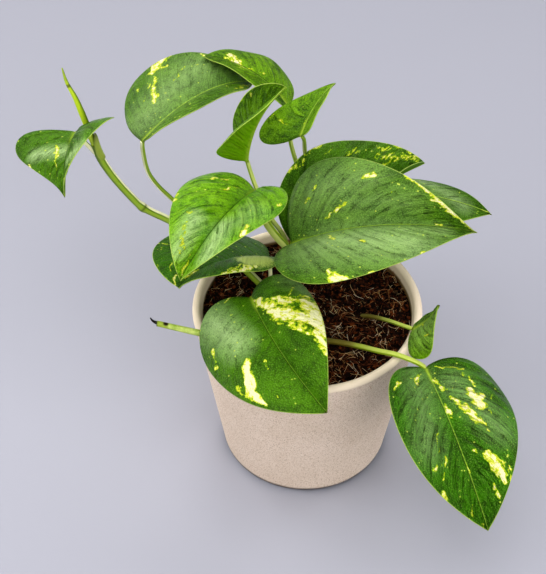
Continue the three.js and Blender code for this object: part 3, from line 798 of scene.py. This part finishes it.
# The columns of the table of blades. A blade starts at its base, in millimetres, aims by heading,
# pitch and roll in degrees, and turns by so much on the way to its tip. Pairs are left and right.
COLUMNS = (
    "base", "aim", "turns", "length", "halves", "lobes", "taper", "folds", "curls", "tuck",
    "veins", "quilt", "ridges", "dry_tip", "finish",
)
BLADES = {
    "leaf_front": (
        (-29, -13, 120), (-74, 6, 7), (22, -17, 9), 81.5, (28.5, 36), (0.18, 0.15), 1.6, (51, 18),
        (-50, -40), -0.05, 13, 0.16, 0.25, 0.7, "mature"),
    "leaf_trailing": (
        (58.5, -41.5, 99), (-73, -2, -3), (4, -36, 24), 88.5, (38.5, 33.5), (0.11, 0.02), 1.95, (21, 24),
        (-40, 6), -0.2, 14, 0.7, 1.3, 0, "shaded"),
    "leaf_largest": (
        (-8, 14.5, 131.5), (-11, 36, -4), (13, -54, 35), 98, (40, 44), (0.05, 0.05), 2.55, (42, 33),
        (-16, -20), 0.2, 15, 0.55, 0.8, 0, "waxy"),
    "leaf_left": (
        (-27, 18, 164.5), (-117, 26, 2), (-2, -50, 1), 75, (25.5, 28), (0.06, 0.06), 1.75, (42, 42),
        (-31, -35), 0.05, 13, 1.0, 0.9, 0, "bright"),
    "leaf_left_lower": (
        (-20, 20, 113.5), (-161, 29, 23), (50, -16, -21), 68.5, (22, 37), (0.09, 0.19), 1.2, (48, 17),
        (-43, -9), -0.25, 12, 0.22, 0.5, 0, "shaded"),
    "leaf_top_left": (
        (-83.5, 39.5, 179), (44, 26, -35), (3, -59, 43), 80.5, (46, 14), (0, 0), 1.35, (18, 4), (-16, 0),
        0, 14, 0.4, 0.4, 0, "waxy"),
    "leaf_top_young": (
        (-10, 83.5, 167), (165, 60, -1), (-12, -75, 15), 55, (10, 28), (0, 0.08), 1.2, (9, 7), (-2, -21),
        0, 11, 0.2, 0.9, 0, "lime"),
    "leaf_rolled": (
        (-31, 32, 172.5), (-32, 85, -7), (8, -34, 43), 58.5, (14.5, 22), (0.19, 0), 1.2, (46, 47),
        (19, -18), 0, 11, 0.16, 0.9, 0, "lime"),
    "leaf_young_right": (
        (-3.5, 52.5, 172), (66, 35, -13), (-17, -29, 2), 36, (28.5, 11), (0.35, 0.04), 2, (-16, 38),
        (6, 1), 0.65, 9, 0.16, 0.9, 0, "lime"),
    "leaf_behind": (
        (-8, 31, 117.5), (23, 30, -12), (2, -20, -21), 82.5, (34.5, 29.5), (0.01, 0.04), 1.5, (69, 31),
        (-11, -15), 0, 13, 0.3, 0.6, 0, "mature"),
    "leaf_back_right": (
        (36, 62.5, 124.5), (-7, 9, -10), (-2, -32, 17), 66.5, (22, 27.5), (0.09, 0.05), 2.3, (12, 6),
        (-29, -28), 0, 12, 0.5, 0.8, 1, "mature"),
    "leaf_rim_young": (
        (53.1, -25, 110.1), (-14, 45, -9), (-7, 33, -1), 24, (5, 16.5), (0.08, 0.34), 1.55, (27, -4),
        (-15, -40), 0.3, 8, 0.45, 1.4, 1, "lime"),
    "leaf_far_left": (
        (-116, 38, 186), (-101, 18, 17), (13, -69, 39), 40.5, (24, 32), (0.16, 0.15), 2.55, (34, 16),
        (-25, -12), 0.2, 10, 0.6, 1.0, 1, "mature"),
}

# Cream and yellow streaks, areas of painted sheen and one pale patch. Each runs from x, y to x, y,
# along and across the blade in millimetres, with a half width at each end and a strength.
STREAKS = {
    "leaf_front": [
        (3, 1.5, 12, 5.5, 0.9, 2.4, 0.95), (12, 5.5, 25, 11, 2.4, 4.0, 0.95),
        (24, 12, 32, 19, 4.4, 6.6, 0.86), (20, 23, 36, 25, 4.2, 5.2, 0.9), (30, 23, 46, 23, 5.6, 4.6, 1),
        (46, 21.5, 60, 18, 3.8, 1.2, 0.95), (30, 12, 44, 17, 1.6, 2.0, 0.6),
        (15, 16, 22, 20, 2.0, 2.4, 0.6), (8, 8, 14, 12, 1.0, 1.4, 0.5),
        (14, 13.5, 18, 15.5, 1.6, 1.8, 0.85), (16, 9, 34, 13.5, 0.7, 1.7, 0.62),
        (16, 25, 22, 27, 1.2, 2.0, 0.8), (37, -16, 42, -19.5, 1.0, 2.0, 1),
        (39, -18, 50, -22.2, 1.4, 2.0, 1.5), (50, -22.2, 60, -21, 1.8, 0.5, 1.5),
        (18, -28.5, 26, -31, 1.2, 1.8, 0.55), (43, -27, 50, -26, 0.9, 0.7, 0.6),
        (-3.5, -9, -1, -13, 0.9, 0.6, 0.8), (8, 22.5, 14, 18, 0.7, 0.7, 0.5),
        (41, -9, 46, -10, 0.5, 0.6, 0.55), (58, -13, 62, -14, 0.5, 0.5, 0.6)],
    "leaf_trailing": [
        (20, 15.5, 29, 18, 1.6, 2.5, 1.0), (24, 22, 25.5, 17, 0.8, 2.4, 1.0),
        (21, 5.5, 29, 9.5, 0.8, 1.5, 0.85), (29, 9.5, 37, 13.5, 1.8, 2.2, 0.9),
        (35, 14.5, 44, 17, 1.1, 0.6, 0.6), (24, 0.9, 30, 2, 0.8, 1.2, 0.8), (8, 1, 16, 4, 0.9, 1.2, 0.75),
        (1.5, 4, 6.5, 18, 0.8, 0.9, 0.6), (10, 17.5, 17, 20, 1.4, 1.2, 0.5),
        (54, 11.5, 61, 14, 1.7, 2.6, 1.05), (60, 14, 69, 15, 2.6, 1.3, 1.05),
        (69, 9.3, 74.5, 9.8, 1.0, 0.8, 0.9), (61, 19.5, 70, 18, 0.9, 0.9, 0.62),
        (55, 0.5, 59, 0.8, 0.6, 0.8, 0.8), (50, 6, 52, 7, 0.9, 0.7, 0.6),
        (5, -7, 10, -10.5, 0.7, 1.2, 0.75), (11, -21.5, 15.5, -27, 0.7, 0.9, 0.62),
        (50.5, -10.3, 53, -11.7, 1.0, 1.1, 0.85), (53.5, -16.5, 55, -18.5, 0.8, 1.1, 0.8),
        (65.5, -17, 68.5, -17.5, 0.8, 1.1, 0.8), (38, -9, 47, -13, 0.5, 0.6, 0.55),
        (57, -13, 59, -14.5, 0.6, 0.7, 0.7), (75, -4, 80, -6, 0.5, 0.6, 0.6),
        (84, -2, 87, -3, 0.5, 0.6, 0.6), (24, 27, 27, 24, 0.8, 0.7, 0.6),
        (30, 21, 36, 22, 0.5, 0.6, 0.5)],
    "leaf_largest": [
        (73, 13.5, 80, 12, 0.8, 1.6, 0.95), (79, 12, 85, 7.5, 1.7, 1.4, 1), (85, 7.5, 92, 4, 1.4, 0.9, 1),
        (91, 3.5, 98, 0, 0.9, 0.5, 0.9), (60, 25.5, 73, 15.5, 0.5, 0.9, 0.9),
        (67, 20, 75, 16, 0.5, 0.5, 0.6), (21, 7, 33, 13.5, 0.9, 1.3, 0.62),
        (41.5, 25.3, 47, 26.3, 0.8, 1.1, 0.75), (12.5, 18.5, 14, 21, 0.8, 0.9, 0.65),
        (16.5, 24, 18, 26.5, 0.5, 0.6, 0.6), (23.5, -6, 27.5, -13, 0.7, 0.9, 0.9),
        (28, -37, 31, -42, 1.4, 2.4, 1), (31, -40, 36, -41.5, 2.2, 1.2, 1),
        (44.5, -37, 47.5, -36.5, 0.8, 0.8, 0.85), (68, -21.3, 70, -20.5, 0.6, 0.6, 0.7),
        (40.5, -14.2, 42, -15.5, 0.7, 0.8, 0.75), (76, 1, 79, 1.2, 0.6, 0.6, 0.7),
        (54, 15, 55, 16, 0.5, 0.5, 0.6)],
    "leaf_left": [
        (40, 18.8, 44.5, 19.3, 1.1, 1.6, 0.95), (17.5, 23, 19.5, 23, 0.8, 0.8, 0.8),
        (10.5, -5, 18, -9.7, 0.4, 0.7, 0.75), (9, -12, 15.5, -19, 0.5, 0.8, 0.8),
        (33, -26, 38.5, -24.3, 0.7, 1.0, 0.55), (56, -9.3, 63, -7, 1.3, 1.8, 0.5),
        (48, -12.5, 57, -9.8, 0.8, 1.5, 0.46), (62, -2.2, 73, -0.8, 0.8, 0.6, 0.56),
        (42.5, -14, 44, -14, 0.8, 0.8, 0.75)],
    "leaf_left_lower": [
        (24, 19.3, 44, 19.8, 0.9, 1.3, 0.95), (30, 17.8, 46, 16.5, 0.6, 0.8, 0.62),
        (48, -0.8, 60, -1, 0.6, 0.9, 0.85), (61, -5.5, 68, -3, 0.7, 0.8, 0.8),
        (54, -12.5, 60, -9, 0.4, 0.5, 0.6), (47, -26, 50, -24, 0.5, 0.6, 0.6),
        (61, -17, 64, -15, 0.5, 0.5, 0.6), (38, -20, 46, -30, 0.5, 0.7, 0.62),
        (26, -24, 34, -33, 0.4, 0.6, 0.6), (36, 19.5, 60, 15, 0.9, 0.7, 0.8)],
    "leaf_top_left": [
        (40, 37.5, 47, 39.5, 1.6, 2.8, 1), (47, 39.5, 56, 39, 2.8, 1.2, 1),
        (44.5, 35.5, 48, 32.5, 0.7, 0.9, 0.62), (21, 14.5, 26, 19, 0.9, 1.5, 0.7),
        (26, 19, 31.5, 26, 1.6, 1.5, 0.78), (31.5, 26, 38, 31, 1.4, 0.8, 0.7),
        (30, 29, 34, 33, 1.4, 0.9, 0.66), (26, 34, 29, 36.5, 0.8, 0.9, 0.75),
        (40, 18.5, 52, 24, 0.5, 0.7, 0.6), (65.5, 24, 66.5, 26.5, 0.8, 0.9, 0.85),
        (60, -7.5, 78, -3, 1.2, 0.9, 0.56), (18, 22, 24, 25, 0.5, 0.6, 0.5)],
    "leaf_top_young": [
        (33, 1, 38, -3, 1.0, 2.2, 0.9), (38, -3, 43, -6, 2.2, 1.4, 0.95), (36, 0, 43, -2, 0.8, 1.3, 0.8),
        (19, -4.5, 29, -0.5, 0.5, 0.8, 0.6), (29, -1, 34, 3, 0.5, 0.6, 0.6)],
    "leaf_rolled": [
        (38.5, 9.8, 40, 10.2, 0.8, 0.8, 0.7), (46, -1, 58, -0.3, 0.8, 0.6, 0.6),
        (30, 13, 44, 12.5, 0.5, 0.6, 0.5)],
    "leaf_young_right": [
        (5, 12, 7.5, 19, 0.4, 0.6, 0.6), (6, 25.5, 10, 24, 0.6, 0.5, 0.62),
        (2, 0.3, 10, 0.9, 0.5, 0.4, 0.5)],
    "leaf_behind": [
        (18, 32.5, 25, 30.5, 1.8, 2.4, 0.48), (27, 33.5, 40, 34.3, 1.6, 1.7, 0.5),
        (28, 29, 30, 32, 0.5, 0.7, 0.6), (46, 23, 54, 22, 1.7, 2.0, 0.45), (51, 8, 64, 9, 1.4, 1.6, 0.42),
        (66, 8, 78, 8, 2.0, 2.4, 0.45), (62, 14, 80, 4, 3.0, 4.0, 0.44),
        (64, 18.5, 76, 12, 1.6, 1.6, 0.46), (40, 28, 44, 29, 0.5, 0.5, 0.6)],
    "leaf_back_right": [
        (20, 12, 26, 15, 0.6, 0.9, 0.7), (30, -14, 36, -15, 0.6, 0.8, 0.7),
        (61, 0.6, 65, 0.5, 0.7, 0.5, 0.6)],
    "leaf_rim_young": [(7.5, -8, 13, -9.5, 0.5, 0.9, 0.6), (2, -0.8, 8, -1.8, 0.5, 0.6, 0.55)],
    "leaf_far_left": [
        (12, -6.8, 18, -5.8, 1.2, 1.2, 0.85), (18, -5.8, 27, -6, 0.6, 0.4, 0.75),
        (19.5, -22.5, 24, -20, 0.8, 1.0, 0.85)],
}
# Painted sheen: soft pale grey-green areas laid on the leaves' skin where the waxy blades shine.
PAINTED_SHEEN = {
    "leaf_front": [(5, -22, 25, -16, 7, 6.5, 0.9), (2, 22, 12, 26, 5, 4, 0.4)],
    "leaf_trailing": [(14, 10, 45, 22, 7, 6, 0.35), (6, -8, 44, -18, 8, 7, 0.35)],
    "leaf_largest": [
        (24, -14, 62, -14, 14, 11, 0.7), (50, -6, 80, -4, 6, 4, 0.5), (16, 24, 40, 25, 14, 12, 0.35),
        (34, 14, 62, 12, 9, 7, 0.25)],
    "leaf_left": [(42, 6, 62, 10, 5, 4, 0.9), (45, -10, 64, -8, 4, 3, 0.9), (30, 14, 40, 12, 6, 5, 0.4)],
    "leaf_top_left": [(12, 12, 56, 18, 11, 11, 0.45)],
    "leaf_back_right": [(26, 12, 50, -2, 4, 4, 0.6)],
    "leaf_rim_young": [(4, -4, 20, -6, 6, 6, 0.35)],
    "leaf_far_left": [(14, -20, 16, -2, 3, 3, 0.9), (22, 14, 24, 4, 3, 2, 0.8)],
}
PALE_PATCHES = {"leaf_left_lower": [(14, 13.5, 27, 14, 6.2, 5.4, 1)]}


def hump(angle, power):
    """Rises from 0 to 1 and falls back over a quarter turn, falling sooner the higher its power."""
    top = math.atan(1 / math.sqrt(power))
    return np.sin(angle) * np.cos(angle) ** power / (np.sin(top) * np.cos(top) ** power)


def by_side(leaf, key, t):
    """What the leaf has on its left, where t is positive, and on its right."""
    return np.where(t >= 0, *leaf[key])


def flat_blade(leaf, s, t):
    """The blade laid flat: how far along the midrib and across from it each point lies."""
    angle = s * math.pi / 2
    midrib = np.sin(angle) ** 3
    margin = np.sin(angle) ** 2 - by_side(leaf, "lobes", t) * hump(angle, 3)
    along = leaf["length"] * (midrib + (margin - midrib) * np.abs(t))
    half = by_side(leaf, "halves", t)
    return along, half * hump(angle, leaf["taper"]) * t, half


def blade_axes(leaf, u):
    """Directions along the midrib, to its left and up from the blade."""
    aims = zip(leaf["aim"], leaf["turns"])
    heading, pitch, roll = (np.radians(first + turn * u) for first, turn in aims)
    along = (np.cos(pitch) * np.cos(heading), np.cos(pitch) * np.sin(heading), np.sin(pitch))
    along = np.stack(along, -1)
    level = np.stack([-np.sin(heading), np.cos(heading), 0 * heading], -1)
    left = level * np.cos(roll)[..., None] + np.cross(along, level) * np.sin(roll)[..., None]
    return along, left, np.cross(along, left)


def midrib_line(leaf, u):
    point = np.zeros(u.shape + (3,)) + np.array(leaf["base"], float)
    step = u / MIDRIB_STEPS
    for i in range(MIDRIB_STEPS):
        point += blade_axes(leaf, (i + 0.5) * step)[0] * (step * leaf["length"])[..., None]
    return point


def blade_surface(leaf, s, t):
    """The blade's middle surface, folded at the midrib, curled to its margins and rippled."""
    along, across, half = flat_blade(leaf, s, t)
    u = along / leaf["length"]
    _, left, up = blade_axes(leaf, u)
    curl = by_side(leaf, "curls", t)
    slope = np.radians(by_side(leaf, "folds", t) + curl * np.abs(across) / half)
    drop = leaf["tuck"] * leaf["length"] * np.maximum(-u, 0) ** 1.5
    wave = np.sin(RIPPLE_WAVES * math.pi * 2 * s + 2 * t + leaf["aim"][0])
    ripple = RIPPLE_HEIGHT * wave * np.abs(t) ** 3 * np.sin(np.pi * s)
    rise = np.abs(across) * np.sin(slope) - drop + ripple
    return midrib_line(leaf, u) + left * (across * np.cos(slope))[..., None] + up * rise[..., None]


def vein_count(leaf, s, t):
    """Counts the side veins from the notch on: a whole number on each vein's own line."""
    back = s - VEIN_SWEEP * np.abs(t) ** 1.15
    ahead = np.maximum(back, 0)
    lobes = np.minimum(back, 0) * 1.1
    return leaf["veins"] * (0.62 * np.sin(ahead * math.pi / 2) ** 3 + 0.38 * ahead + lobes)


def near_streaks(streaks, along, across):
    """1 in the heart of a streak, a half at its edge, 0 a width away from it."""
    best = np.zeros_like(along)
    for x0, y0, x1, y1, w0, w1, strength in streaks:
        dx, dy = x1 - x0, y1 - y0
        share = np.clip(((along - x0) * dx + (across - y0) * dy) / (dx * dx + dy * dy), 0, 1)
        gap = np.hypot(along - x0 - share * dx, across - y0 - share * dy) / (w0 + (w1 - w0) * share)
        best = np.maximum(best, strength * np.clip(1 - gap / 2, 0, 1))
    return best


def smoothly(low, high, values):
    share = np.clip((values - low) / (high - low), 0, 1)
    return share * share * (3 - 2 * share)


def drift(x, y, seed):
    """Smooth random heights from about -0.5 to 0.5 over a pair of coordinates."""
    points = zip(x.ravel(), y.ravel())
    return np.array([noise.noise((px, py, seed)) for px, py in points]).reshape(x.shape) * 0.7


def blade_mesh(name, leaf):
    """The blade as one closed skin. Its upper and lower faces share the points of the margin."""
    large, middling = leaf["length"] > 78, leaf["length"] > 60
    rows, half_columns = (150, 46) if large else (112, 36) if middling else (72, 26)
    one_side = np.concatenate([np.linspace(0, 0.975, half_columns), [0.988, 1.0]])
    columns = np.concatenate([-one_side[:0:-1], one_side])
    s, t = np.meshgrid(np.linspace(0, 1, rows + 1), columns, indexing="ij")
    out = np.abs(t)
    along, across, half = flat_blade(leaf, s, t)
    u = np.clip(along / leaf["length"], 0, 1)
    middle = blade_surface(leaf, s, t)
    normal = np.cross(np.gradient(middle, axis=0), np.gradient(middle, axis=1))
    normal[0], normal[-1] = normal[1], normal[-2]
    normal /= np.maximum(np.linalg.norm(normal, axis=-1), 1e-9)[..., None]

    # Grooves along the side veins, raised flesh between them and lumps that follow no vein.
    veins = vein_count(leaf, s, t)
    apart = np.abs(veins - np.round(veins))
    ends = np.sin(np.pi * np.clip(s * 1.04, 0, 1)) ** 0.6
    spread = smoothly(0.04, 0.3, out) * smoothly(1.0, 0.8, out) * ends
    seed = leaf["aim"][0] * 0.37
    waver = drift(veins * 0.8, t * 2.6, seed)
    groove = np.exp(-((apart / 0.12) ** 2)) * spread * np.clip(0.65 + 0.9 * waver, 0, 1.3)
    pillow = (0.5 - 0.5 * np.cos(2 * math.pi * apart)) * np.clip(0.7 + 1.1 * waver, 0.1, 1.6)
    lumps = 1.5 * drift(veins * 1.3, t * 5.0, seed + 9)
    lumps = lumps + 1.3 * drift(along * 0.16, across * 0.16, seed + 4)
    quilt = leaf["quilt"] * spread * (0.55 * pillow - 0.5 * groove)
    quilt += leaf["quilt"] * spread * lumps

    # Thickness: full along the midrib, rounded off at the margin, the midrib standing out below.
    rib = np.exp(-((across / (1.1 - 0.6 * u)) ** 2))
    away = (1 - out) * half * hump(s * math.pi / 2, leaf["taper"])
    round_off = np.sqrt(np.clip(1 - np.clip(1 - away / 0.5, 0, 1) ** 2, 0, 1))
    body = MARGIN_HALF * round_off + 0.16 * (1 - out) ** 3
    upper = body + quilt - 0.32 * rib * (1 - 0.5 * u)
    lower = body - quilt * 0.9 + 0.55 * rib * (1 - 0.75 * u) + 0.1 * groove
    tops = middle + normal * upper[..., None]
    bottoms = middle - normal * lower[..., None]

    # What the skin reads off each point. The streaks' outlines sway so that none is straight.
    sway_along = 2.4 * drift(along * 0.3, across * 0.3, seed + 2)
    sway_across = 2.0 * drift(along * 0.34, across * 0.34, seed + 7)
    dry = leaf["dry_tip"] * smoothly(0.985, 1.0, along / leaf["length"])
    marks = {
        "blade": np.stack([veins, t, dry], -1),
        "flat": np.stack([along, across, 0 * along], -1),
        "pale": near_streaks(leaf["streaks"], along + sway_along, across + sway_across),
        "pale_patch": near_streaks(leaf["pale_patch"], along, across),
        "painted_sheen": near_streaks(leaf["painted_sheen"], along, across),
        "edge": away,
        "rib": rib,
        "groove": groove,
        "ridges": leaf["ridges"] * spread,
    }
    points, spots, under = [], [], []

    def note(i, j, surface, below):
        points.append(surface[i, j])
        spots.append((i, j))
        under.append(below)
        return len(points) - 1

    wide = len(columns)
    index_top, index_bottom = np.zeros(s.shape, int), np.zeros(s.shape, int)
    for i in (0, rows):
        index_top[i, :] = index_bottom[i, :] = note(i, wide // 2, middle, 0.5)
    for i in range(1, rows):
        for j in range(wide):
            if j in (0, wide - 1):
                index_top[i, j] = index_bottom[i, j] = note(i, j, middle, 0.5)
            else:
                index_top[i, j] = note(i, j, tops, 0)
                index_bottom[i, j] = note(i, j, bottoms, 1)
    faces = []
    for i in range(rows):
        for j in range(wide - 1):
            for index, turn in ((index_top, 1), (index_bottom, -1)):
                corners = index[[i, i + 1, i + 1, i], [j, j, j + 1, j + 1]].tolist()
                kept = list(dict.fromkeys(corners))
                if len(kept) > 2:
                    faces.append(kept[::turn])
    at = tuple(np.transpose(spots))
    fields = {key: values[at] for key, values in marks.items()}
    return new_mesh(name, points, faces=faces, under=under, **fields)


def leaf_skin(name, deep, fresh, shade_and_mottle_green, lower_face, rough, freckles, puckers, gloss):
    """Waxy skin. Streaks break up along the veins, from green over lime and yellow to cream."""
    material, tree = new_finish(name)
    veins, out, dry = split(field(tree, "blade", "Vector"))
    flat = field(tree, "flat", "Vector")
    along, across, _ = split(flat)

    def by_veins(across_veins, outwards, shift):
        return joined(veins * across_veins, out * outwards, shift)

    def ridged(count, waver):
        """Broad ridges with narrow furrows between them, so many from one side vein to the next."""
        wave = maths("SINE", (veins * count + waver) * math.pi)
        return maths("POWER", maths("ABSOLUTE", wave), 1.1)

    ribs = cloud(by_veins(1.1, 1.6, 3.0), 1.0, 3, 0.6)
    folds = cloud(by_veins(3.0, 2.6, 9.0), 1.0, 3, 0.6)
    grain = cloud(flat, 0.75, 4, 0.7)
    pimples = cloud(flat, 1.5, 2, 0.6)
    tide = cloud(flat, 0.05, 2)
    mottle = cloud(flat, 0.26, 4, 0.65)
    blots = cloud(flat, 0.6, 4, 0.8)
    islands = cloud(flat, 0.3, 3, 0.6)
    streaks = cloud(by_veins(3.6, 3.6, 0.0), 1.0, 5, 0.7)

    # Relief and the greens painted onto it. Painted light makes the ridges and the tops of the pimples
    # fresher, and painted shade darkens the furrows and the hollows between the pimples. Darker and
    # fresher mottles fall at random.
    quilting = wander(ridged(1.0, wander(ribs, 0.8)), 0.62)
    quilting = quilting + wander(ridged(2.6, wander(folds, 1.6)), 0.3)
    quilting = quilting * (field(tree, "ridges") * ranged(ribs, 0.36, 0.64, 0.25, 1.3))
    broad = wander(folds, 0.9) + quilting
    height = broad + wander(grain, 1.5)
    skin = mixed(ranged(tide, 0.36, 0.66), deep, fresh)
    skin = coated(
        skin,
        (fresh, height, 0.0, 0.5, puckers),
        (shade_and_mottle_green, height, 0.02, -0.5, 0.8 * puckers),
        (shade_and_mottle_green, mottle, 0.5, 0.34, 0.66 * puckers),
        (fresh, mottle, 0.5, 0.68, 0.6 * puckers),
        (shade_and_mottle_green, pimples, 0.54, 0.36, 0.42 * puckers),
        ("#90be4c", pimples, 0.5, 0.66, 0.4 * puckers),
    )
    # Painted sheen: pale grey-green over the painted sheen areas, broken up by the relief and mottles.
    sheen = ranged(height + (wander(pimples, 1.0) + wander(mottle, 1.6)), -1.0, 0.35)
    skin = mixed(field(tree, "painted_sheen") * sheen * 0.85, skin, "#bcd898")

    # Streaks, freckles and the pale patch.
    drawn = field(tree, "pale")
    ragged = wander(streaks, 2.0) + (wander(blots, 1.1) + wander(islands, 1.3))
    pale = (drawn + ragged) * ranged(drawn, 0.1, 0.4)
    lime, yellow = ("#94bc08", pale, 0.3, 0.42, 1.0), ("#dde034", pale, 0.42, 0.58, 1.0)
    skin = coated(skin, lime, yellow, ("#f6f3c0", pale, 0.62, 0.9, 1.0))
    dots = cells(flat, 0.36)
    chosen = ranged(split(dots.also("Color"))[0], 1 - freckles, 1.01 - freckles)
    skin = mixed(ranged(dots + wander(grain, 0.25), 0.2, 0.1) * chosen * 0.85, skin, "#cfe05a")
    pale_patch = field(tree, "pale_patch") + (wander(blots, 0.9) + wander(ribs, 0.5))
    skin = coated(skin, ("#d6e67c", pale_patch, 0.3, 0.7, 0.88))

    # The midrib lies in a channel with painted shade along one side and a painted highlight along the
    # other, and the margin is pale.
    rib = field(tree, "rib")
    dark = ranged(maths("ABSOLUTE", across + 0.2), 0.5, 0.1, 0.0, 0.75)
    bright = ranged(maths("ABSOLUTE", across - 0.34), 0.46, 0.14, 0.0, 0.75)
    skin = mixed(dark * ranged(along, 4, 20), skin, shade_and_mottle_green)
    skin = mixed(bright * ranged(blots, 0.4, 0.6, 0.5, 1), skin, "#a9cc4c")
    skin = mixed(rib * ranged(along, 16, 2, 0.0, 0.8), skin, "#b4d040")
    skin = coated(skin, ("#c0d668", field(tree, "edge"), 0.42, 0.12, 0.75))

    under = ranged(field(tree, "under"), 0.55, 0.95)
    beneath = mixed(ranged(ribs, 0.35, 0.7), lower_face, fresh)
    beneath = mixed(maths("MULTIPLY", field(tree, "groove"), 0.4, clamp=True), beneath, "#9cbc38")
    beneath = coated(mixed(rib * 0.7, beneath, "#b4cc50"), ("#d6de60", pale, 0.45, 0.7, 0.8))
    skin = mixed(dry, mixed(under, skin, beneath), "#3a2312")
    dull = ranged(under, 0, 1, rough, 0.6) + wander(grain, 0.15)
    relief = raised(grain + pimples, 0.0009, 0.6, raised(broad, 0.0019, puckers))
    return end_finish(material, skin, dull, relief, gloss, (0.8, 1.0, 0.4, 1.0))


# Greens when deep, when fresh, of painted shade in the furrows and of darker mottles, and on the
# lower face, then how rough, freckled, puckered and glossy the skin is. How puckered it is also
# sets how strong the painted light and shade on its relief are.
GREENS = {
    "mature": ("#356300", "#508402", "#193400", "#6f9b38", 0.36, 0.28, 0.85, 0.6),
    "shaded": ("#285a00", "#408000", "#132e00", "#6f9b38", 0.36, 0.34, 0.95, 0.6),
    "waxy": ("#3d6c06", "#608e18", "#1e3a08", "#769c45", 0.4, 0.34, 0.95, 0.6),
    "bright": ("#589600", "#86bc16", "#205200", "#7fae3c", 0.32, 0.06, 1.0, 0.7),
    "lime": ("#447200", "#7cac0a", "#244800", "#7cb010", 0.5, 0.05, 0.95, 0.3),
}
leaf_finishes = {key: leaf_skin(key + " leaf", *values) for key, values in GREENS.items()}
for node, row in BLADES.items():
    marks = {"streaks": STREAKS[node], "painted_sheen": PAINTED_SHEEN.get(node, []), "pale_patch": PALE_PATCHES.get(node, [])}
    leaf = dict(zip(COLUMNS, row)) | marks
    blade = blade_mesh(node.replace("leaf_", "blade_"), leaf)
    blade.data.materials.append(leaf_finishes[leaf["finish"]])
    fit(blade, "leaf_young" if leaf["finish"] == "lime" else "leaf", node)

# Studio. A plain pale grey sheet lies under the pot. Three wide soft lights behind the plant give
# the leaves part of their sheen, and painted sheen on the skin gives the rest. Weaker ones above,
# in front and at both sides only fill, in a dim room.
WARM = (1.0, 0.995, 0.98)
CLEAR = (1.0, 0.99, 0.98)
WINDOW = (1.0, 0.99, 0.97)


def sheet_finish():
    material, tree = new_finish("pale sheet")
    shade = mixed(cloud(place_on(tree), 3, 2), "#a4a4ae", "#a8a8b2")
    feed(material.node_tree.nodes["Principled BSDF"], {
        "Base Color": shade, "Roughness": 0.9, "Specular IOR Level": 0.1,
    })
    return material


bpy.ops.mesh.primitive_grid_add(x_subdivisions=4, y_subdivisions=4, size=12, location=(0, 0, 0))
sheet = bpy.context.object
sheet.name = "studio_sheet"
sheet.data.materials.append(sheet_finish())


def soft_light(name, heading, height, distance, size, glow, colour, gloss):
    """A round soft light, placed by its heading from +X and its height above the floor in degrees."""
    data = bpy.data.lights.new(name, "AREA")
    data.shape = "DISK"
    data.size = size
    data.energy = glow * math.pi * math.pi * size * size / 4
    data.color = colour
    turn, rise = math.radians(heading), math.radians(height)
    aim = Vector((math.cos(rise) * math.cos(turn), math.cos(rise) * math.sin(turn), math.sin(rise)))
    light = bpy.data.objects.new(name, data)
    light.location = Vector((0, 0, 0.12)) + aim * distance
    light.rotation_euler = (-aim).to_track_quat("-Z", "Y").to_euler()
    light.visible_camera = False
    light.visible_glossy = gloss
    bpy.context.collection.objects.link(light)


soft_light("behind right", 32, 30, 4.0, 1.7, 2.3, WARM, True)
soft_light("behind", 84, 42, 4.0, 2.0, 4.3, WARM, True)
soft_light("behind left", 135, 30, 4.0, 2.0, 4.0, WARM, True)
soft_light("above", -90, 76, 1.2, 0.8, 2.4, WARM, False)
soft_light("window", -168, 34, 1.3, 1.1, 2.8, WINDOW, False)
soft_light("front", -110, 50, 0.9, 0.63, 1.25, CLEAR, False)
soft_light("right", -50, 26, 1.1, 1.1, 2.1, CLEAR, False)
room = bpy.data.worlds.new("room")
room.use_nodes = True
feed(room.node_tree.nodes["Background"], {0: (0.88, 0.9, 0.94, 1), 1: 0.36})
bpy.context.scene.world = room
room.cycles_visibility.glossy = False
bpy.context.scene.view_settings.view_transform = "Standard"
bpy.context.scene.view_settings.look = "Medium High Contrast"
